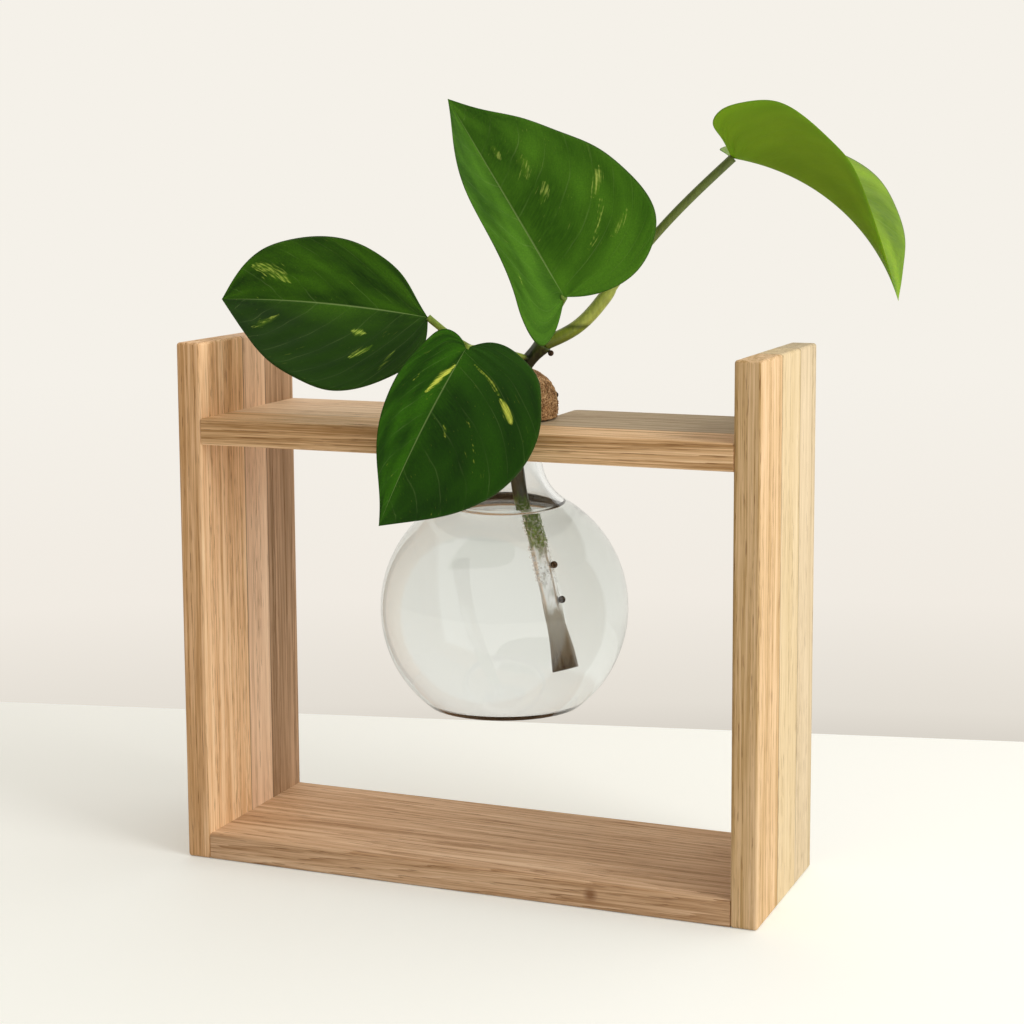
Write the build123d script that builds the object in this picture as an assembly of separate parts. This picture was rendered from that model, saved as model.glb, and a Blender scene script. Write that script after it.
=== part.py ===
"""Propagation vase: an oak frame holds a round glass by its neck, with a rooted cutting in it.

Millimetres, +Z up, +X to the right seen from the front, +Y to the back. The origin is the middle of the
frame's footprint, on the surface that the frame stands on.
"""
import os
from math import cos, radians, sin, sqrt, tan

from build123d import *

# The wooden frame's outer sizes and boards
frame_width = 228.0
frame_depth = 75.0
frame_height = 200.0
upright_thickness = 10.0
base_thickness = 10.0
shelf_thickness = 10.0
shelf_top_height = 171.5
edge_round = 1.2

# Strips that each upright is glued from; the middle strip takes the rest of the depth
left_front_stave_width = 33.3
left_rear_stave_width = 23.9
right_front_stave_width = 26.5
right_rear_stave_width = 23.5

# The shelf's front rail, and the slot between its two rear blocks
rail_depth = 25.0
slot_offset = 3.0
slot_side_clearance = 1.2
slot_end_clearance = 0.7
slot_corner_round = 3.0
slot_edge_round = 0.8
seam_gap_width = 0.8
seam_gap_start = 12.0

# Pegs inside the joints, and the room that glue needs round them
dowel_radius = 2.5
dowel_upright_depth = 6.5
dowel_board_depth = 14.0
dowel_rail_depth = 12.0
dowel_fit = 0.1
dowel_end_room = 0.5
base_dowel_inset = 17.5
rear_dowel_inset = 9.5
middle_dowel_inset = 12.5
rail_dowel_inset = 22.0

# The blown glass
globe_radius = 47.0
globe_centre_drop = 72.0
globe_base_drop = 37.0
glass_wall = 1.8
glass_base_thickness = 3.0
heel_round = 2.2
kick_radius = 22.0
kick_height = 0.8
neck_radius = 14.3
shoulder_round = 20.0
lip_flare = 1.5
lip_radius = 19.0
lip_seat_gap = 0.3

# The fibrous plug in the mouth
plug_depth = 13.5
plug_tip_radius = 8.5
plug_mouth_clearance = 0.6
plug_seat_gap = 0.3
plug_skirt_clearance = 0.6
plug_skirt_drop = 1.7
plug_skirt_width = 1.0
plug_height = 17.5
plug_crown_radius = 7.0
plug_bulge_shares = (0.88, 0.60)

# The cutting's main stem: how far it leans and where it bends
stem_radius = 2.75
stem_height = 118.0
stem_swing = 12.0
stem_neck_offset = 4.0
stem_floor_room = 19.5
stem_path_shares = ((1.3, 0.0), (0.3, 0.475), (0.0, 0.70), (0.33, 0.915), (1.04, 1.0))
stem_lower_bend_radius = 90.0
stem_middle_bend_radius = 90.0
stem_upper_bend_radius = 9.0
stem_foot_radius = 3.9
stem_foot_height = 14.0
stem_split_width = 0.8
stem_split_height = 8.0
node_radius = 3.2
side_shoot_share = 0.4

# Root nubs on the stem and the plug
nub_radius = 1.1
nub_sink = 0.4
nub_height_shares = (0.268, 0.178)
node_nub_drop_angle = 53.0
node_nub_gap = 0.05
plug_nub_height_share = 0.36
plug_nub_out_share = 0.95
plug_nub_turn_angle = 22.0

# Leaf stalks
left_petiole_radius = 1.4
left_petiole_bow = -5.0
front_petiole_radius = 1.4
front_petiole_bow = 1.0
top_petiole_radius = 1.5
top_petiole_bow = 2.0
sheath_radius = 2.6
sheath_reach = 22.0
sheath_depth = 9.5
sheath_rise = 19.0
sheath_bow = -3.5
right_petiole_radius = 1.6

# Leaves: where each blade starts from the top of the stem, how long it is, and how it lies
leaf_thickness = 0.8

left_leaf_reach = -40.0
left_leaf_depth = -16.0
left_leaf_rise = 10.0
left_leaf_length = 82.0
left_leaf_lie_angles = (-173.0, 4.0, 58.0)
left_leaf_bend_angle = 24.0
left_leaf_fold_angles = (9.0, 9.0)
left_leaf_lower_shares = (
    (-0.02, 0.15), (0.01, 0.25), (0.09, 0.34), (0.20, 0.42), (0.33, 0.46), (0.47, 0.43), (0.65, 0.34),
    (0.81, 0.20),
)
left_leaf_upper_shares = (
    (0.05, 0.06), (0.14, 0.17), (0.26, 0.25), (0.42, 0.31), (0.59, 0.32), (0.73, 0.29), (0.84, 0.24),
    (0.94, 0.13),
)

front_leaf_reach = -16.0
front_leaf_depth = -36.0
front_leaf_rise = 1.0
front_leaf_length = 71.0
front_leaf_lie_angles = (-139.0, -62.0, 45.0)
front_leaf_bend_angle = 22.0
front_leaf_fold_angles = (8.0, 12.0)
front_leaf_right_shares = (
    (-0.07, 0.09), (-0.09, 0.19), (-0.06, 0.34), (0.00, 0.47), (0.11, 0.56), (0.22, 0.62), (0.36, 0.64),
    (0.54, 0.59), (0.69, 0.48), (0.82, 0.32), (0.93, 0.13),
)
front_leaf_left_shares = (
    (-0.04, 0.06), (-0.04, 0.15), (0.05, 0.20), (0.20, 0.24), (0.36, 0.24), (0.52, 0.21), (0.66, 0.16),
    (0.78, 0.10), (0.90, 0.04),
)

top_leaf_reach = 11.0
top_leaf_depth = -8.0
top_leaf_rise = 18.0
top_leaf_length = 95.0
top_leaf_lie_angles = (157.0, 50.0, 52.0)
top_leaf_bend_angle = 20.0
top_leaf_fold_angles = (34.0, 8.0)
top_leaf_left_shares = (
    (-0.08, 0.06), (-0.14, 0.12), (-0.16, 0.16), (-0.04, 0.18), (0.06, 0.16), (0.19, 0.14), (0.36, 0.13),
    (0.55, 0.12), (0.74, 0.08), (0.90, 0.03),
)
top_leaf_right_shares = (
    (-0.03, 0.05), (-0.07, 0.16), (-0.07, 0.29), (-0.02, 0.39), (0.07, 0.46), (0.17, 0.47), (0.28, 0.45),
    (0.43, 0.40), (0.58, 0.31), (0.73, 0.21), (0.87, 0.09),
)

right_leaf_reach = 65.0
right_leaf_depth = 24.0
right_leaf_rise = 68.0
right_leaf_length = 81.0
right_leaf_lie_angles = (-4.0, -39.0, 22.0)
right_leaf_bend_angle = 66.0
right_leaf_fold_angles = (37.0, 37.0)
right_leaf_far_shares = (
    (-0.08, 0.11), (-0.13, 0.20), (-0.10, 0.29), (0.00, 0.35), (0.15, 0.38), (0.30, 0.39), (0.46, 0.39),
    (0.64, 0.33), (0.78, 0.25), (0.88, 0.14), (0.95, 0.06),
)
right_leaf_near_shares = (
    (-0.08, 0.11), (-0.13, 0.19), (-0.12, 0.25), (-0.06, 0.29), (0.04, 0.32), (0.17, 0.30), (0.35, 0.24),
    (0.44, 0.21), (0.61, 0.12), (0.78, 0.05),
)

# One overrun serves every cut
overrun = 2.0

# Places worked out from the sizes above
inner_width = frame_width - 2 * upright_thickness
front_y = -frame_depth / 2
rear_y = frame_depth / 2
shelf_underside = shelf_top_height - shelf_thickness
shelf_mid_height = shelf_top_height - shelf_thickness / 2
rail_rear_y = front_y + rail_depth
slot_half_width = neck_radius + slot_side_clearance
neck_y = rail_rear_y + slot_end_clearance + neck_radius
rear_block_depth = rear_y - rail_rear_y
globe_centre_height = shelf_top_height - globe_centre_drop
globe_base_height = globe_centre_height - globe_base_drop
lip_underside = shelf_top_height + lip_seat_gap
flare_height = lip_underside - lip_flare
lip_top = lip_underside + glass_wall
plug_seat_height = lip_top + plug_seat_gap
bore_radius = neck_radius - glass_wall
stem_bottom_height = globe_base_height + stem_floor_room
stem_neck_x = slot_offset + stem_neck_offset


def stem_point(swing_share, height_share):
    """A point of the stem's centre line, from its shares of the swing and of the height."""
    return Vector(
        stem_neck_x + stem_swing * swing_share,
        neck_y,
        stem_bottom_height + stem_height * height_share,
    )


stem_points = [stem_point(*shares) for shares in stem_path_shares]
stem_bend_radii = [stem_lower_bend_radius, stem_middle_bend_radius, stem_upper_bend_radius]
stem_node = stem_points[-1]
side_shoot = stem_points[-2] + (stem_node - stem_points[-2]) * side_shoot_share


def block(x_low, x_high, y_low, y_high, z_low, z_high):
    """A square-edged block between two corners."""
    size = (x_high - x_low, y_high - y_low, z_high - z_low)
    centre = ((x_low + x_high) / 2, (y_low + y_high) / 2, (z_low + z_high) / 2)
    return Pos(*centre) * Box(*size)


def peg_along_x(x_low, x_high, y, z, radius):
    """A round peg, or the hole for it, lying along X."""
    return Pos((x_low + x_high) / 2, y, z) * Rot(0, 90, 0) * Cylinder(radius, x_high - x_low)


def peg_along_y(y_low, y_high, x, z, radius):
    """A round peg, or the hole for it, lying along Y."""
    return Pos(x, (y_low + y_high) / 2, z) * Rot(90, 0, 0) * Cylinder(radius, y_high - y_low)


# Where pegs lie: base pegs near the front and back, shelf pegs in the rail and in each rear block
base_peg_places = [(y, base_thickness / 2) for y in (front_y + base_dowel_inset, rear_y - base_dowel_inset)]
rail_peg_place = (front_y + rail_depth / 2, shelf_mid_height)
block_peg_places = [
    (rail_rear_y + middle_dowel_inset, shelf_mid_height),
    (rear_y - rear_dowel_inset, shelf_mid_height),
]
shelf_peg_places = [rail_peg_place] + block_peg_places


def end_pegs(side, places, radius, extra):
    """Pegs through the joint between one upright and the boards that butt against it."""
    joint_x = side * inner_width / 2
    outward = joint_x + side * (dowel_upright_depth + extra)
    inward = joint_x - side * (dowel_board_depth + extra)
    low, high = sorted((outward, inward))
    return [peg_along_x(low, high, y, z, radius) for y, z in places]


def rear_block_peg_xs(side):
    """Where the pegs between the rail and one rear block lie along X."""
    slot_wall = slot_offset + side * slot_half_width
    return (slot_wall + side * rail_dowel_inset, side * (inner_width / 2 - rail_dowel_inset))


def rail_pegs(side, radius, extra):
    """Pegs across the joint between the front rail and one rear block."""
    y_low = rail_rear_y - dowel_rail_depth - extra
    y_high = rail_rear_y + dowel_rail_depth + extra
    return [peg_along_y(y_low, y_high, x, shelf_mid_height, radius) for x in rear_block_peg_xs(side)]


hole_radius = dowel_radius + dowel_fit


def upright_staves(side, front_width, rear_width):
    """One upright: a rounded board, drilled for its pegs and split along its glue lines."""
    inner_x = side * inner_width / 2
    outer_x = side * frame_width / 2
    x_low, x_high = sorted((inner_x, outer_x))
    board = block(x_low, x_high, front_y, rear_y, 0, frame_height)
    board = fillet(board.edges(), edge_round)
    for hole in end_pegs(side, base_peg_places + shelf_peg_places, hole_radius, dowel_end_room):
        board -= hole
    seams = (front_y - overrun, front_y + front_width, rear_y - rear_width, rear_y + overrun)
    strips = []
    for y_low, y_high in zip(seams[:-1], seams[1:]):
        slice_box = block(x_low - overrun, x_high + overrun, y_low, y_high, -overrun, frame_height + overrun)
        strips.append(board & slice_box)
    return strips


def long_edges(board, places):
    """The edges of a board that run along X at the given Y and Z places."""
    picked = []
    for edge in board.edges().filter_by(Axis.X):
        middle = edge.center()
        if any(abs(middle.Y - y) < edge_round and abs(middle.Z - z) < edge_round for y, z in places):
            picked.append(edge)
    return picked


def base_board():
    """The board between the feet of the uprights."""
    half = inner_width / 2
    board = block(-half, half, front_y, rear_y, 0, base_thickness)
    corners = [(y, z) for y in (front_y, rear_y) for z in (0, base_thickness)]
    board = fillet(long_edges(board, corners), edge_round)
    for side in (-1, 1):
        for hole in end_pegs(side, base_peg_places, hole_radius, dowel_end_room):
            board -= hole
    return board


def shelf_front_rail():
    """The shelf's full-length front strip, which closes the slot's front end."""
    half = inner_width / 2
    rail = block(-half, half, front_y, rail_rear_y, shelf_underside, shelf_top_height)
    rail = fillet(long_edges(rail, [(front_y, z) for z in (shelf_underside, shelf_top_height)]), edge_round)
    for side in (-1, 1):
        holes = end_pegs(side, [rail_peg_place], hole_radius, dowel_end_room)
        for hole in holes + rail_pegs(side, hole_radius, dowel_end_room):
            rail -= hole
    return rail


def shelf_rear_block(side, seam_opens):
    """A shelf block beside the slot; its rear slot corner is rounded and its slot edges are softened."""
    slot_wall = slot_offset + side * slot_half_width
    end_x = side * inner_width / 2
    x_low, x_high = sorted((slot_wall, end_x))
    body = block(x_low, x_high, rail_rear_y, rear_y, shelf_underside, shelf_top_height)
    corner = body.edges().filter_by(Axis.Z).sort_by_distance((slot_wall, rear_y, shelf_mid_height))[0]
    body = fillet(corner, slot_corner_round)
    rims = []
    for face in (body.faces().sort_by(Axis.Z)[0], body.faces().sort_by(Axis.Z)[-1]):
        for edge in face.edges():
            middle = edge.center()
            at_seam = abs(middle.Y - rail_rear_y) < slot_edge_round
            at_end = abs(middle.X - end_x) < slot_edge_round
            if not at_seam and not at_end:
                rims.append(edge)
    body = fillet(rims, slot_edge_round)
    if seam_opens:
        start = (slot_wall + side * seam_gap_start, rail_rear_y)
        gap = make_face(Polyline(start, (end_x, rail_rear_y), (end_x, rail_rear_y + seam_gap_width), start))
        body -= Pos(0, 0, shelf_mid_height) * extrude(gap, amount=shelf_thickness, both=True)
    holes = end_pegs(side, block_peg_places, hole_radius, dowel_end_room)
    for hole in holes + rail_pegs(side, hole_radius, dowel_end_room):
        body -= hole
    return body


inward_angle = 180.0


def profile_point(centre_r, centre_z, radius, angle):
    """A point of the turned profile, on a circle at an angle in degrees from outward."""
    return (centre_r + radius * cos(radians(angle)), 0, centre_z + radius * sin(radians(angle)))


def profile_arc(centre_r, centre_z, radius, start, end):
    """A circular stretch of the turned profile between two angles."""
    angles = (start, (start + end) / 2, end)
    return ThreePointArc(*[profile_point(centre_r, centre_z, radius, angle) for angle in angles])


def polyline_edges(*points):
    """Straight stretches of a turned profile, one after another."""
    return [Line(a, b) for a, b in zip(points[:-1], points[1:])]


def turned(edges):
    """The solid that a closed profile makes when turned about the neck's axis."""
    solid = revolve(make_face(Curve() + edges), Axis.Z)
    return Pos(slot_offset, neck_y, 0) * solid


def glass_globe():
    """One blown wall: flat base, globe, hollowed shoulder, neck and flared lip."""
    shoulder_r = neck_radius + shoulder_round
    shoulder_rise = sqrt((globe_radius + shoulder_round) ** 2 - shoulder_r**2)
    shoulder_height = globe_centre_height + shoulder_rise
    meet = Vector(shoulder_r, shoulder_rise).get_angle(Vector(1, 0))
    foot_r = sqrt(globe_radius**2 - globe_base_drop**2)
    foot_angle = -Vector(foot_r, globe_base_drop).get_angle(Vector(1, 0))
    inner_radius = globe_radius - glass_wall
    floor_drop = globe_base_drop - glass_base_thickness
    floor_r = sqrt(inner_radius**2 - floor_drop**2)
    floor_angle = -Vector(floor_r, floor_drop).get_angle(Vector(1, 0))
    floor_height = globe_base_height + glass_base_thickness
    flare_r = neck_radius + lip_flare
    rim_r = lip_radius - glass_wall / 2
    kick = ThreePointArc(
        (-kick_radius, 0, globe_base_height),
        (0, 0, globe_base_height + kick_height),
        (kick_radius, 0, globe_base_height),
    )
    edges = [
        kick.trim(1 / 2, 1),
        Line((kick_radius, 0, globe_base_height), (foot_r, 0, globe_base_height)),
        profile_arc(0, globe_centre_height, globe_radius, foot_angle, meet),
        profile_arc(shoulder_r, shoulder_height, shoulder_round, inward_angle + meet, inward_angle),
        Line((neck_radius, 0, shoulder_height), (neck_radius, 0, flare_height)),
        profile_arc(flare_r, flare_height, lip_flare, inward_angle, inward_angle / 2),
        Line((flare_r, 0, lip_underside), (rim_r, 0, lip_underside)),
        profile_arc(rim_r, lip_underside + glass_wall / 2, glass_wall / 2, -90, 90),
        Line((rim_r, 0, lip_top), (flare_r, 0, lip_top)),
        profile_arc(flare_r, flare_height, lip_flare + glass_wall, inward_angle / 2, inward_angle),
        Line((bore_radius, 0, flare_height), (bore_radius, 0, shoulder_height)),
        profile_arc(shoulder_r, shoulder_height, shoulder_round + glass_wall, inward_angle, inward_angle + meet),
        profile_arc(0, globe_centre_height, inner_radius, meet, floor_angle),
        Line((floor_r, 0, floor_height), (0, 0, floor_height)),
        Line((0, 0, floor_height), (0, 0, globe_base_height + kick_height)),
    ]
    wall = make_face(Curve() + edges)
    for corner in ((foot_r, 0, globe_base_height), (floor_r, 0, floor_height)):
        wall = fillet(wall.vertices().sort_by_distance(corner)[0], heel_round)
    return Pos(slot_offset, neck_y, 0) * revolve(wall, Axis.Z)


def main_stem():
    """The cutting's stem: bends gently through the neck, flares at its split foot, swells at its top node."""
    path = FilletPolyline(*stem_points, radius=stem_bend_radii)
    start = path @ 0
    along = path % 0
    stem = sweep(Plane(origin=start, z_dir=along) * Circle(stem_radius), path=path)
    foot = Cone(stem_foot_radius, stem_radius, stem_foot_height, align=(Align.CENTER, Align.CENTER, Align.MIN))
    foot_place = Plane(origin=start, x_dir=(0, 1, 0), z_dir=along)
    stem += foot_place * foot
    stem += Pos(*stem_node) * Sphere(node_radius)
    split = Box(2 * stem_foot_radius + overrun, stem_split_width, 2 * stem_split_height)
    return stem - foot_place * split


def plug_taper(stem):
    """The lower part of the fibre wad, tapered into the mouth, with the stem through it."""
    tip_height = plug_seat_height - plug_depth
    edges = polyline_edges(
        (0, 0, tip_height),
        (plug_tip_radius, 0, tip_height),
        (bore_radius - plug_mouth_clearance, 0, plug_seat_height),
        (0, 0, plug_seat_height),
        (0, 0, tip_height),
    )
    return turned(edges) - stem


def plug_dome(stem):
    """The upper part of the wad: a dome over the lip, with a skirt round the lip's edge and the stem through it."""
    skirt_r = lip_radius + plug_skirt_clearance
    skirt_height = plug_seat_height - plug_skirt_drop
    outer_r = skirt_r + plug_skirt_width
    crown_height = plug_seat_height + plug_height
    out_share, up_share = plug_bulge_shares
    bulge = (outer_r * out_share, 0, skirt_height + (crown_height - skirt_height) * up_share)
    edges = polyline_edges(
        (0, 0, plug_seat_height),
        (skirt_r, 0, plug_seat_height),
        (skirt_r, 0, skirt_height),
        (outer_r, 0, skirt_height),
    )
    edges.append(ThreePointArc((outer_r, 0, skirt_height), bulge, (plug_crown_radius, 0, crown_height)))
    edges += polyline_edges(
        (plug_crown_radius, 0, crown_height), (0, 0, crown_height), (0, 0, plug_seat_height)
    )
    return turned(edges) - stem


def root_nubs(stem, dome, sheath):
    """Short root starts: two on the stem under water, one at the top node, one showing on the plug."""
    foot, bend = stem_points[0], stem_points[1]
    bend_share = stem_path_shares[1][1]
    out = stem_radius + nub_radius - nub_sink
    centres = [foot + (bend - foot) * (share / bend_share) + Vector(out, 0, 0) for share in nub_height_shares]
    drop = radians(node_nub_drop_angle)
    centres.append(stem_node + Vector(cos(drop), 0, -sin(drop)) * (node_radius + nub_radius + node_nub_gap))
    plug_nub_r = (lip_radius + plug_skirt_clearance + plug_skirt_width) * plug_nub_out_share
    plug_nub_height = plug_seat_height + plug_height * plug_nub_height_share
    turn = radians(plug_nub_turn_angle)
    centres.append(Vector(slot_offset, neck_y, plug_nub_height) + Vector(cos(turn), sin(turn), 0) * plug_nub_r)
    return [Pos(*centre) * Sphere(nub_radius) - stem - dome - sheath for centre in centres]


def bowed_petiole(start, end, bow, radius):
    """A leaf stalk as one arc, lifted at its middle by the bow."""
    path = ThreePointArc(start, (start + end) / 2 + Vector(0, 0, bow), end)
    return sweep(Plane(origin=path @ 0, z_dir=path % 0) * Circle(radius), path=path)


def right_petiole(end):
    """The long stalk: a thick sheath low down, then a thinner stalk that carries on in the same direction."""
    ring = stem_node + Vector(sheath_reach, sheath_depth, sheath_rise)
    lower = ThreePointArc(stem_node, (stem_node + ring) / 2 + Vector(0, 0, sheath_bow), ring)
    upper = TangentArc(ring, end, tangent=lower % 1)
    sheath = sweep(Plane(origin=lower @ 0, z_dir=lower % 0) * Circle(sheath_radius), path=lower)
    stalk = sweep(Plane(origin=upper @ 0, z_dir=upper % 0) * Circle(right_petiole_radius), path=upper)
    return sheath + stalk


def leaf_plane(origin, lie):
    """The blade's frame: X to the tip, Z the way it faces; lie is heading, climb and roll in degrees."""
    heading, climb, roll = [radians(angle) for angle in lie]
    chord = Vector(cos(climb) * cos(heading), cos(climb) * sin(heading), sin(climb))
    level = Vector(-sin(heading), cos(heading), 0)
    facing = chord.cross(level) * cos(roll) + level * sin(roll)
    return Plane(origin=origin, x_dir=chord, z_dir=facing)


def half_blade(side, length, bend, fold, outline_shares):
    """Half of a blade: an arched sheet, slanted up from the midrib, trimmed to the half outline."""
    half_turn = radians(bend / 2)
    arch_radius = length / 2 / sin(half_turn)
    centre = (length / 2, -arch_radius * cos(half_turn))
    back_share = 0.24
    tip_share = 0.03
    back = (1 / 2 + back_share) * length / arch_radius
    front = (1 / 2 + tip_share) * length / arch_radius

    def on_arch(radius, sine):
        return (centre[0] + radius * sine, 0, centre[1] + radius * sqrt(1 - sine**2))

    middle = (front - back) / 2
    under = arch_radius - leaf_thickness
    band = make_face(
        Curve()
        + [
            ThreePointArc(*[on_arch(arch_radius, sine) for sine in (-back, middle, front)]),
            Line(on_arch(arch_radius, front), on_arch(under, front)),
            ThreePointArc(*[on_arch(under, sine) for sine in (front, middle, -back)]),
            Line(on_arch(under, -back), on_arch(arch_radius, -back)),
        ]
    )
    slant = Vector(0, side * cos(radians(fold)), sin(radians(fold)))
    sheet = extrude(band, amount=length / cos(radians(fold)), dir=slant)
    inner_points = [(length * along, side * length * across) for along, across in outline_shares]
    points = [(0, 0)] + inner_points + [(length, 0)]
    outline = make_face(Curve() + [Spline(*points), Line(points[-1], points[0])])
    return sheet & extrude(outline, amount=length * (1 + tan(radians(fold))), both=True)


def leaf(origin, lie, length, bend, folds, plus_shares, minus_shares, petiole):
    """A blade of two halves joined along the midrib, notched where its stalk comes in."""
    plus = half_blade(1, length, bend, folds[0], plus_shares)
    minus = half_blade(-1, length, bend, folds[1], minus_shares)
    return leaf_plane(origin, lie) * (plus + minus) - petiole


def save(name, shape):
    """Write one node; a list is a group of separate solids."""
    if isinstance(shape, list):
        solids = [solid for piece in shape for solid in piece.solids()]
    else:
        solids = list(shape.solids())
    export_step(solids[0] if len(solids) == 1 else Compound(children=solids), f"parts/{name}.step")


os.makedirs("parts", exist_ok=True)

# The wooden frame
stave_places = ("front", "middle", "rear")
upright_sides = (
    ("left", -1, left_front_stave_width, left_rear_stave_width),
    ("right", 1, right_front_stave_width, right_rear_stave_width),
)
for side_name, side, front_width, rear_width in upright_sides:
    for place, strip in zip(stave_places, upright_staves(side, front_width, rear_width)):
        save(f"{side_name}_upright_{place}_stave", strip)
save("base_board", base_board())
save("shelf_front_rail", shelf_front_rail())
save("shelf_rear_left_block", shelf_rear_block(-1, seam_opens=False))
save("shelf_rear_right_block", shelf_rear_block(1, seam_opens=True))
save("base_dowels", [peg for side in (-1, 1) for peg in end_pegs(side, base_peg_places, dowel_radius, 0)])
save("shelf_dowels", [peg for side in (-1, 1) for peg in end_pegs(side, shelf_peg_places, dowel_radius, 0)])
save("rail_dowels", [peg for side in (-1, 1) for peg in rail_pegs(side, dowel_radius, 0)])

# The glass
save("glass_globe", glass_globe())

# The plug and the cutting
stem = main_stem()
dome = plug_dome(stem)
save("main_stem", stem)
save("plug_taper", plug_taper(stem))
save("plug_dome", dome)

left_leaf_base = stem_node + Vector(left_leaf_reach, left_leaf_depth, left_leaf_rise)
front_leaf_base = stem_node + Vector(front_leaf_reach, front_leaf_depth, front_leaf_rise)
top_leaf_base = stem_node + Vector(top_leaf_reach, top_leaf_depth, top_leaf_rise)
right_leaf_base = stem_node + Vector(right_leaf_reach, right_leaf_depth, right_leaf_rise)

left_petiole = bowed_petiole(side_shoot, left_leaf_base, left_petiole_bow, left_petiole_radius) - stem
front_petiole = bowed_petiole(side_shoot, front_leaf_base, front_petiole_bow, front_petiole_radius)
front_petiole = front_petiole - stem - left_petiole
long_petiole = right_petiole(right_leaf_base) - stem
top_petiole = bowed_petiole(stem_node, top_leaf_base, top_petiole_bow, top_petiole_radius) - stem - long_petiole
save("root_nubs", root_nubs(stem, dome, long_petiole))
save("left_petiole", left_petiole)
save("front_petiole", front_petiole)
save("top_petiole", top_petiole)
save("right_petiole", long_petiole)

save("left_leaf", leaf(
    left_leaf_base, left_leaf_lie_angles, left_leaf_length, left_leaf_bend_angle, left_leaf_fold_angles,
    left_leaf_lower_shares, left_leaf_upper_shares, left_petiole,
))
save("front_leaf", leaf(
    front_leaf_base, front_leaf_lie_angles, front_leaf_length, front_leaf_bend_angle, front_leaf_fold_angles,
    front_leaf_right_shares, front_leaf_left_shares, front_petiole,
))
save("top_leaf", leaf(
    top_leaf_base, top_leaf_lie_angles, top_leaf_length, top_leaf_bend_angle, top_leaf_fold_angles,
    top_leaf_left_shares, top_leaf_right_shares, top_petiole,
))
save("right_leaf", leaf(
    right_leaf_base, right_leaf_lie_angles, right_leaf_length, right_leaf_bend_angle, right_leaf_fold_angles,
    right_leaf_far_shares, right_leaf_near_shares, long_petiole,
))
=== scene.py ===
# %% [markdown]
# # A propagation vase
# An oak frame carries a round glass by its neck, and a cutting stands in the glass with its foot in water.
# The construction comes from a CAD model that is loaded as a fixed frame. This lesson gives it its looks:
# planed oak, blown glass, water, matted fibre and living leaves.

# %% Open the frame
import math

import bmesh
import bpy
import numpy as np
from mathutils import Matrix, Vector


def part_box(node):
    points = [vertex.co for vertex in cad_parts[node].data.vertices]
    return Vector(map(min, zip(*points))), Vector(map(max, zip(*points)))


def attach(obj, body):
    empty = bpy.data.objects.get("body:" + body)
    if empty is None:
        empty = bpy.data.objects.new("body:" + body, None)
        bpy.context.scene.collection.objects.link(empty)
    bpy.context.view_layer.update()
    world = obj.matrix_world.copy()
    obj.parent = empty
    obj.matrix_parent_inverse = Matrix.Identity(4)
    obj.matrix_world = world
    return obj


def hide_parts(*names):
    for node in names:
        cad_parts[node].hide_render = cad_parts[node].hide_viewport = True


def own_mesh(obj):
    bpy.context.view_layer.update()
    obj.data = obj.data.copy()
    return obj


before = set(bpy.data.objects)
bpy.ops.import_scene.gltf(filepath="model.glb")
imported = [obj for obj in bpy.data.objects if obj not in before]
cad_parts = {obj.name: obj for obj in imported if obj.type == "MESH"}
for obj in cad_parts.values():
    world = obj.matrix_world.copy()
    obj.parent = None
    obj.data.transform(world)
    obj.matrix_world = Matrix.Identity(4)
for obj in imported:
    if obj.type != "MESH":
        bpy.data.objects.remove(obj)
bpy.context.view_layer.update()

MM = 0.001
IMAGE_SIZE = 1024
print("nodes in the frame:", len(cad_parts))

# %% [markdown]
# ## Camera
# The photograph was taken from the right and a little above. Its place was worked out from the corners of the
# wooden frame. A small vertical shift keeps the uprights as upright as they are in the photograph.

# %% Set the camera
CAMERA_PLACE = Vector((307.4, -739.1, 269.1)) * MM
CAMERA_YAW = math.radians(-22.09)
CAMERA_PITCH = math.radians(-7.26)
CAMERA_ROLL = math.radians(-0.30)
FOCAL_PIXELS = 2151.7
CENTRE_ROW = 430.0
SENSOR_MM = 36.0
CLIP_START = 10 * MM

ahead = Vector((
    math.sin(CAMERA_YAW) * math.cos(CAMERA_PITCH),
    math.cos(CAMERA_YAW) * math.cos(CAMERA_PITCH),
    math.sin(CAMERA_PITCH),
))
level_right = Vector((math.cos(CAMERA_YAW), -math.sin(CAMERA_YAW), 0.0))
level_up = level_right.cross(ahead)
right = level_right * math.cos(CAMERA_ROLL) + level_up * math.sin(CAMERA_ROLL)
up = level_up * math.cos(CAMERA_ROLL) - level_right * math.sin(CAMERA_ROLL)

camera = bpy.data.objects.new("camera", bpy.data.cameras.new("camera"))
camera.matrix_world = Matrix.Translation(CAMERA_PLACE) @ Matrix((right, up, -ahead)).transposed().to_4x4()
camera.data.sensor_width = SENSOR_MM
camera.data.lens = FOCAL_PIXELS / IMAGE_SIZE * SENSOR_MM
camera.data.shift_y = (CENTRE_ROW - IMAGE_SIZE / 2) / IMAGE_SIZE
camera.data.clip_start = CLIP_START
bpy.context.scene.collection.objects.link(camera)
bpy.context.scene.camera = camera
bpy.context.scene.view_settings.view_transform = "Standard"
print("lens", round(camera.data.lens, 1), "mm, shift", round(camera.data.shift_y, 3))

# %% [markdown]
# ## Small helpers for materials
# Colours are written as the hex values that a paint program shows, which are sRGB. Shaders need linear light,
# so one function converts them. Another adds a node with its settings and its links in one line. The rest are
# short names for the few nodes that every pattern uses.


# %% Colour and node helpers
def paint(hex_colour):
    """Linear RGBA of an sRGB hex colour: below 0.04045 it is divided by 12.92, above it follows a 2.4 power."""
    srgb = np.array([int(hex_colour[i:i + 2], 16) for i in (0, 2, 4)]) / 255
    linear = np.where(srgb <= 0.04045, srgb / 12.92, ((srgb + 0.055) / 1.055) ** 2.4)
    return (*linear.tolist(), 1.0)


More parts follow.
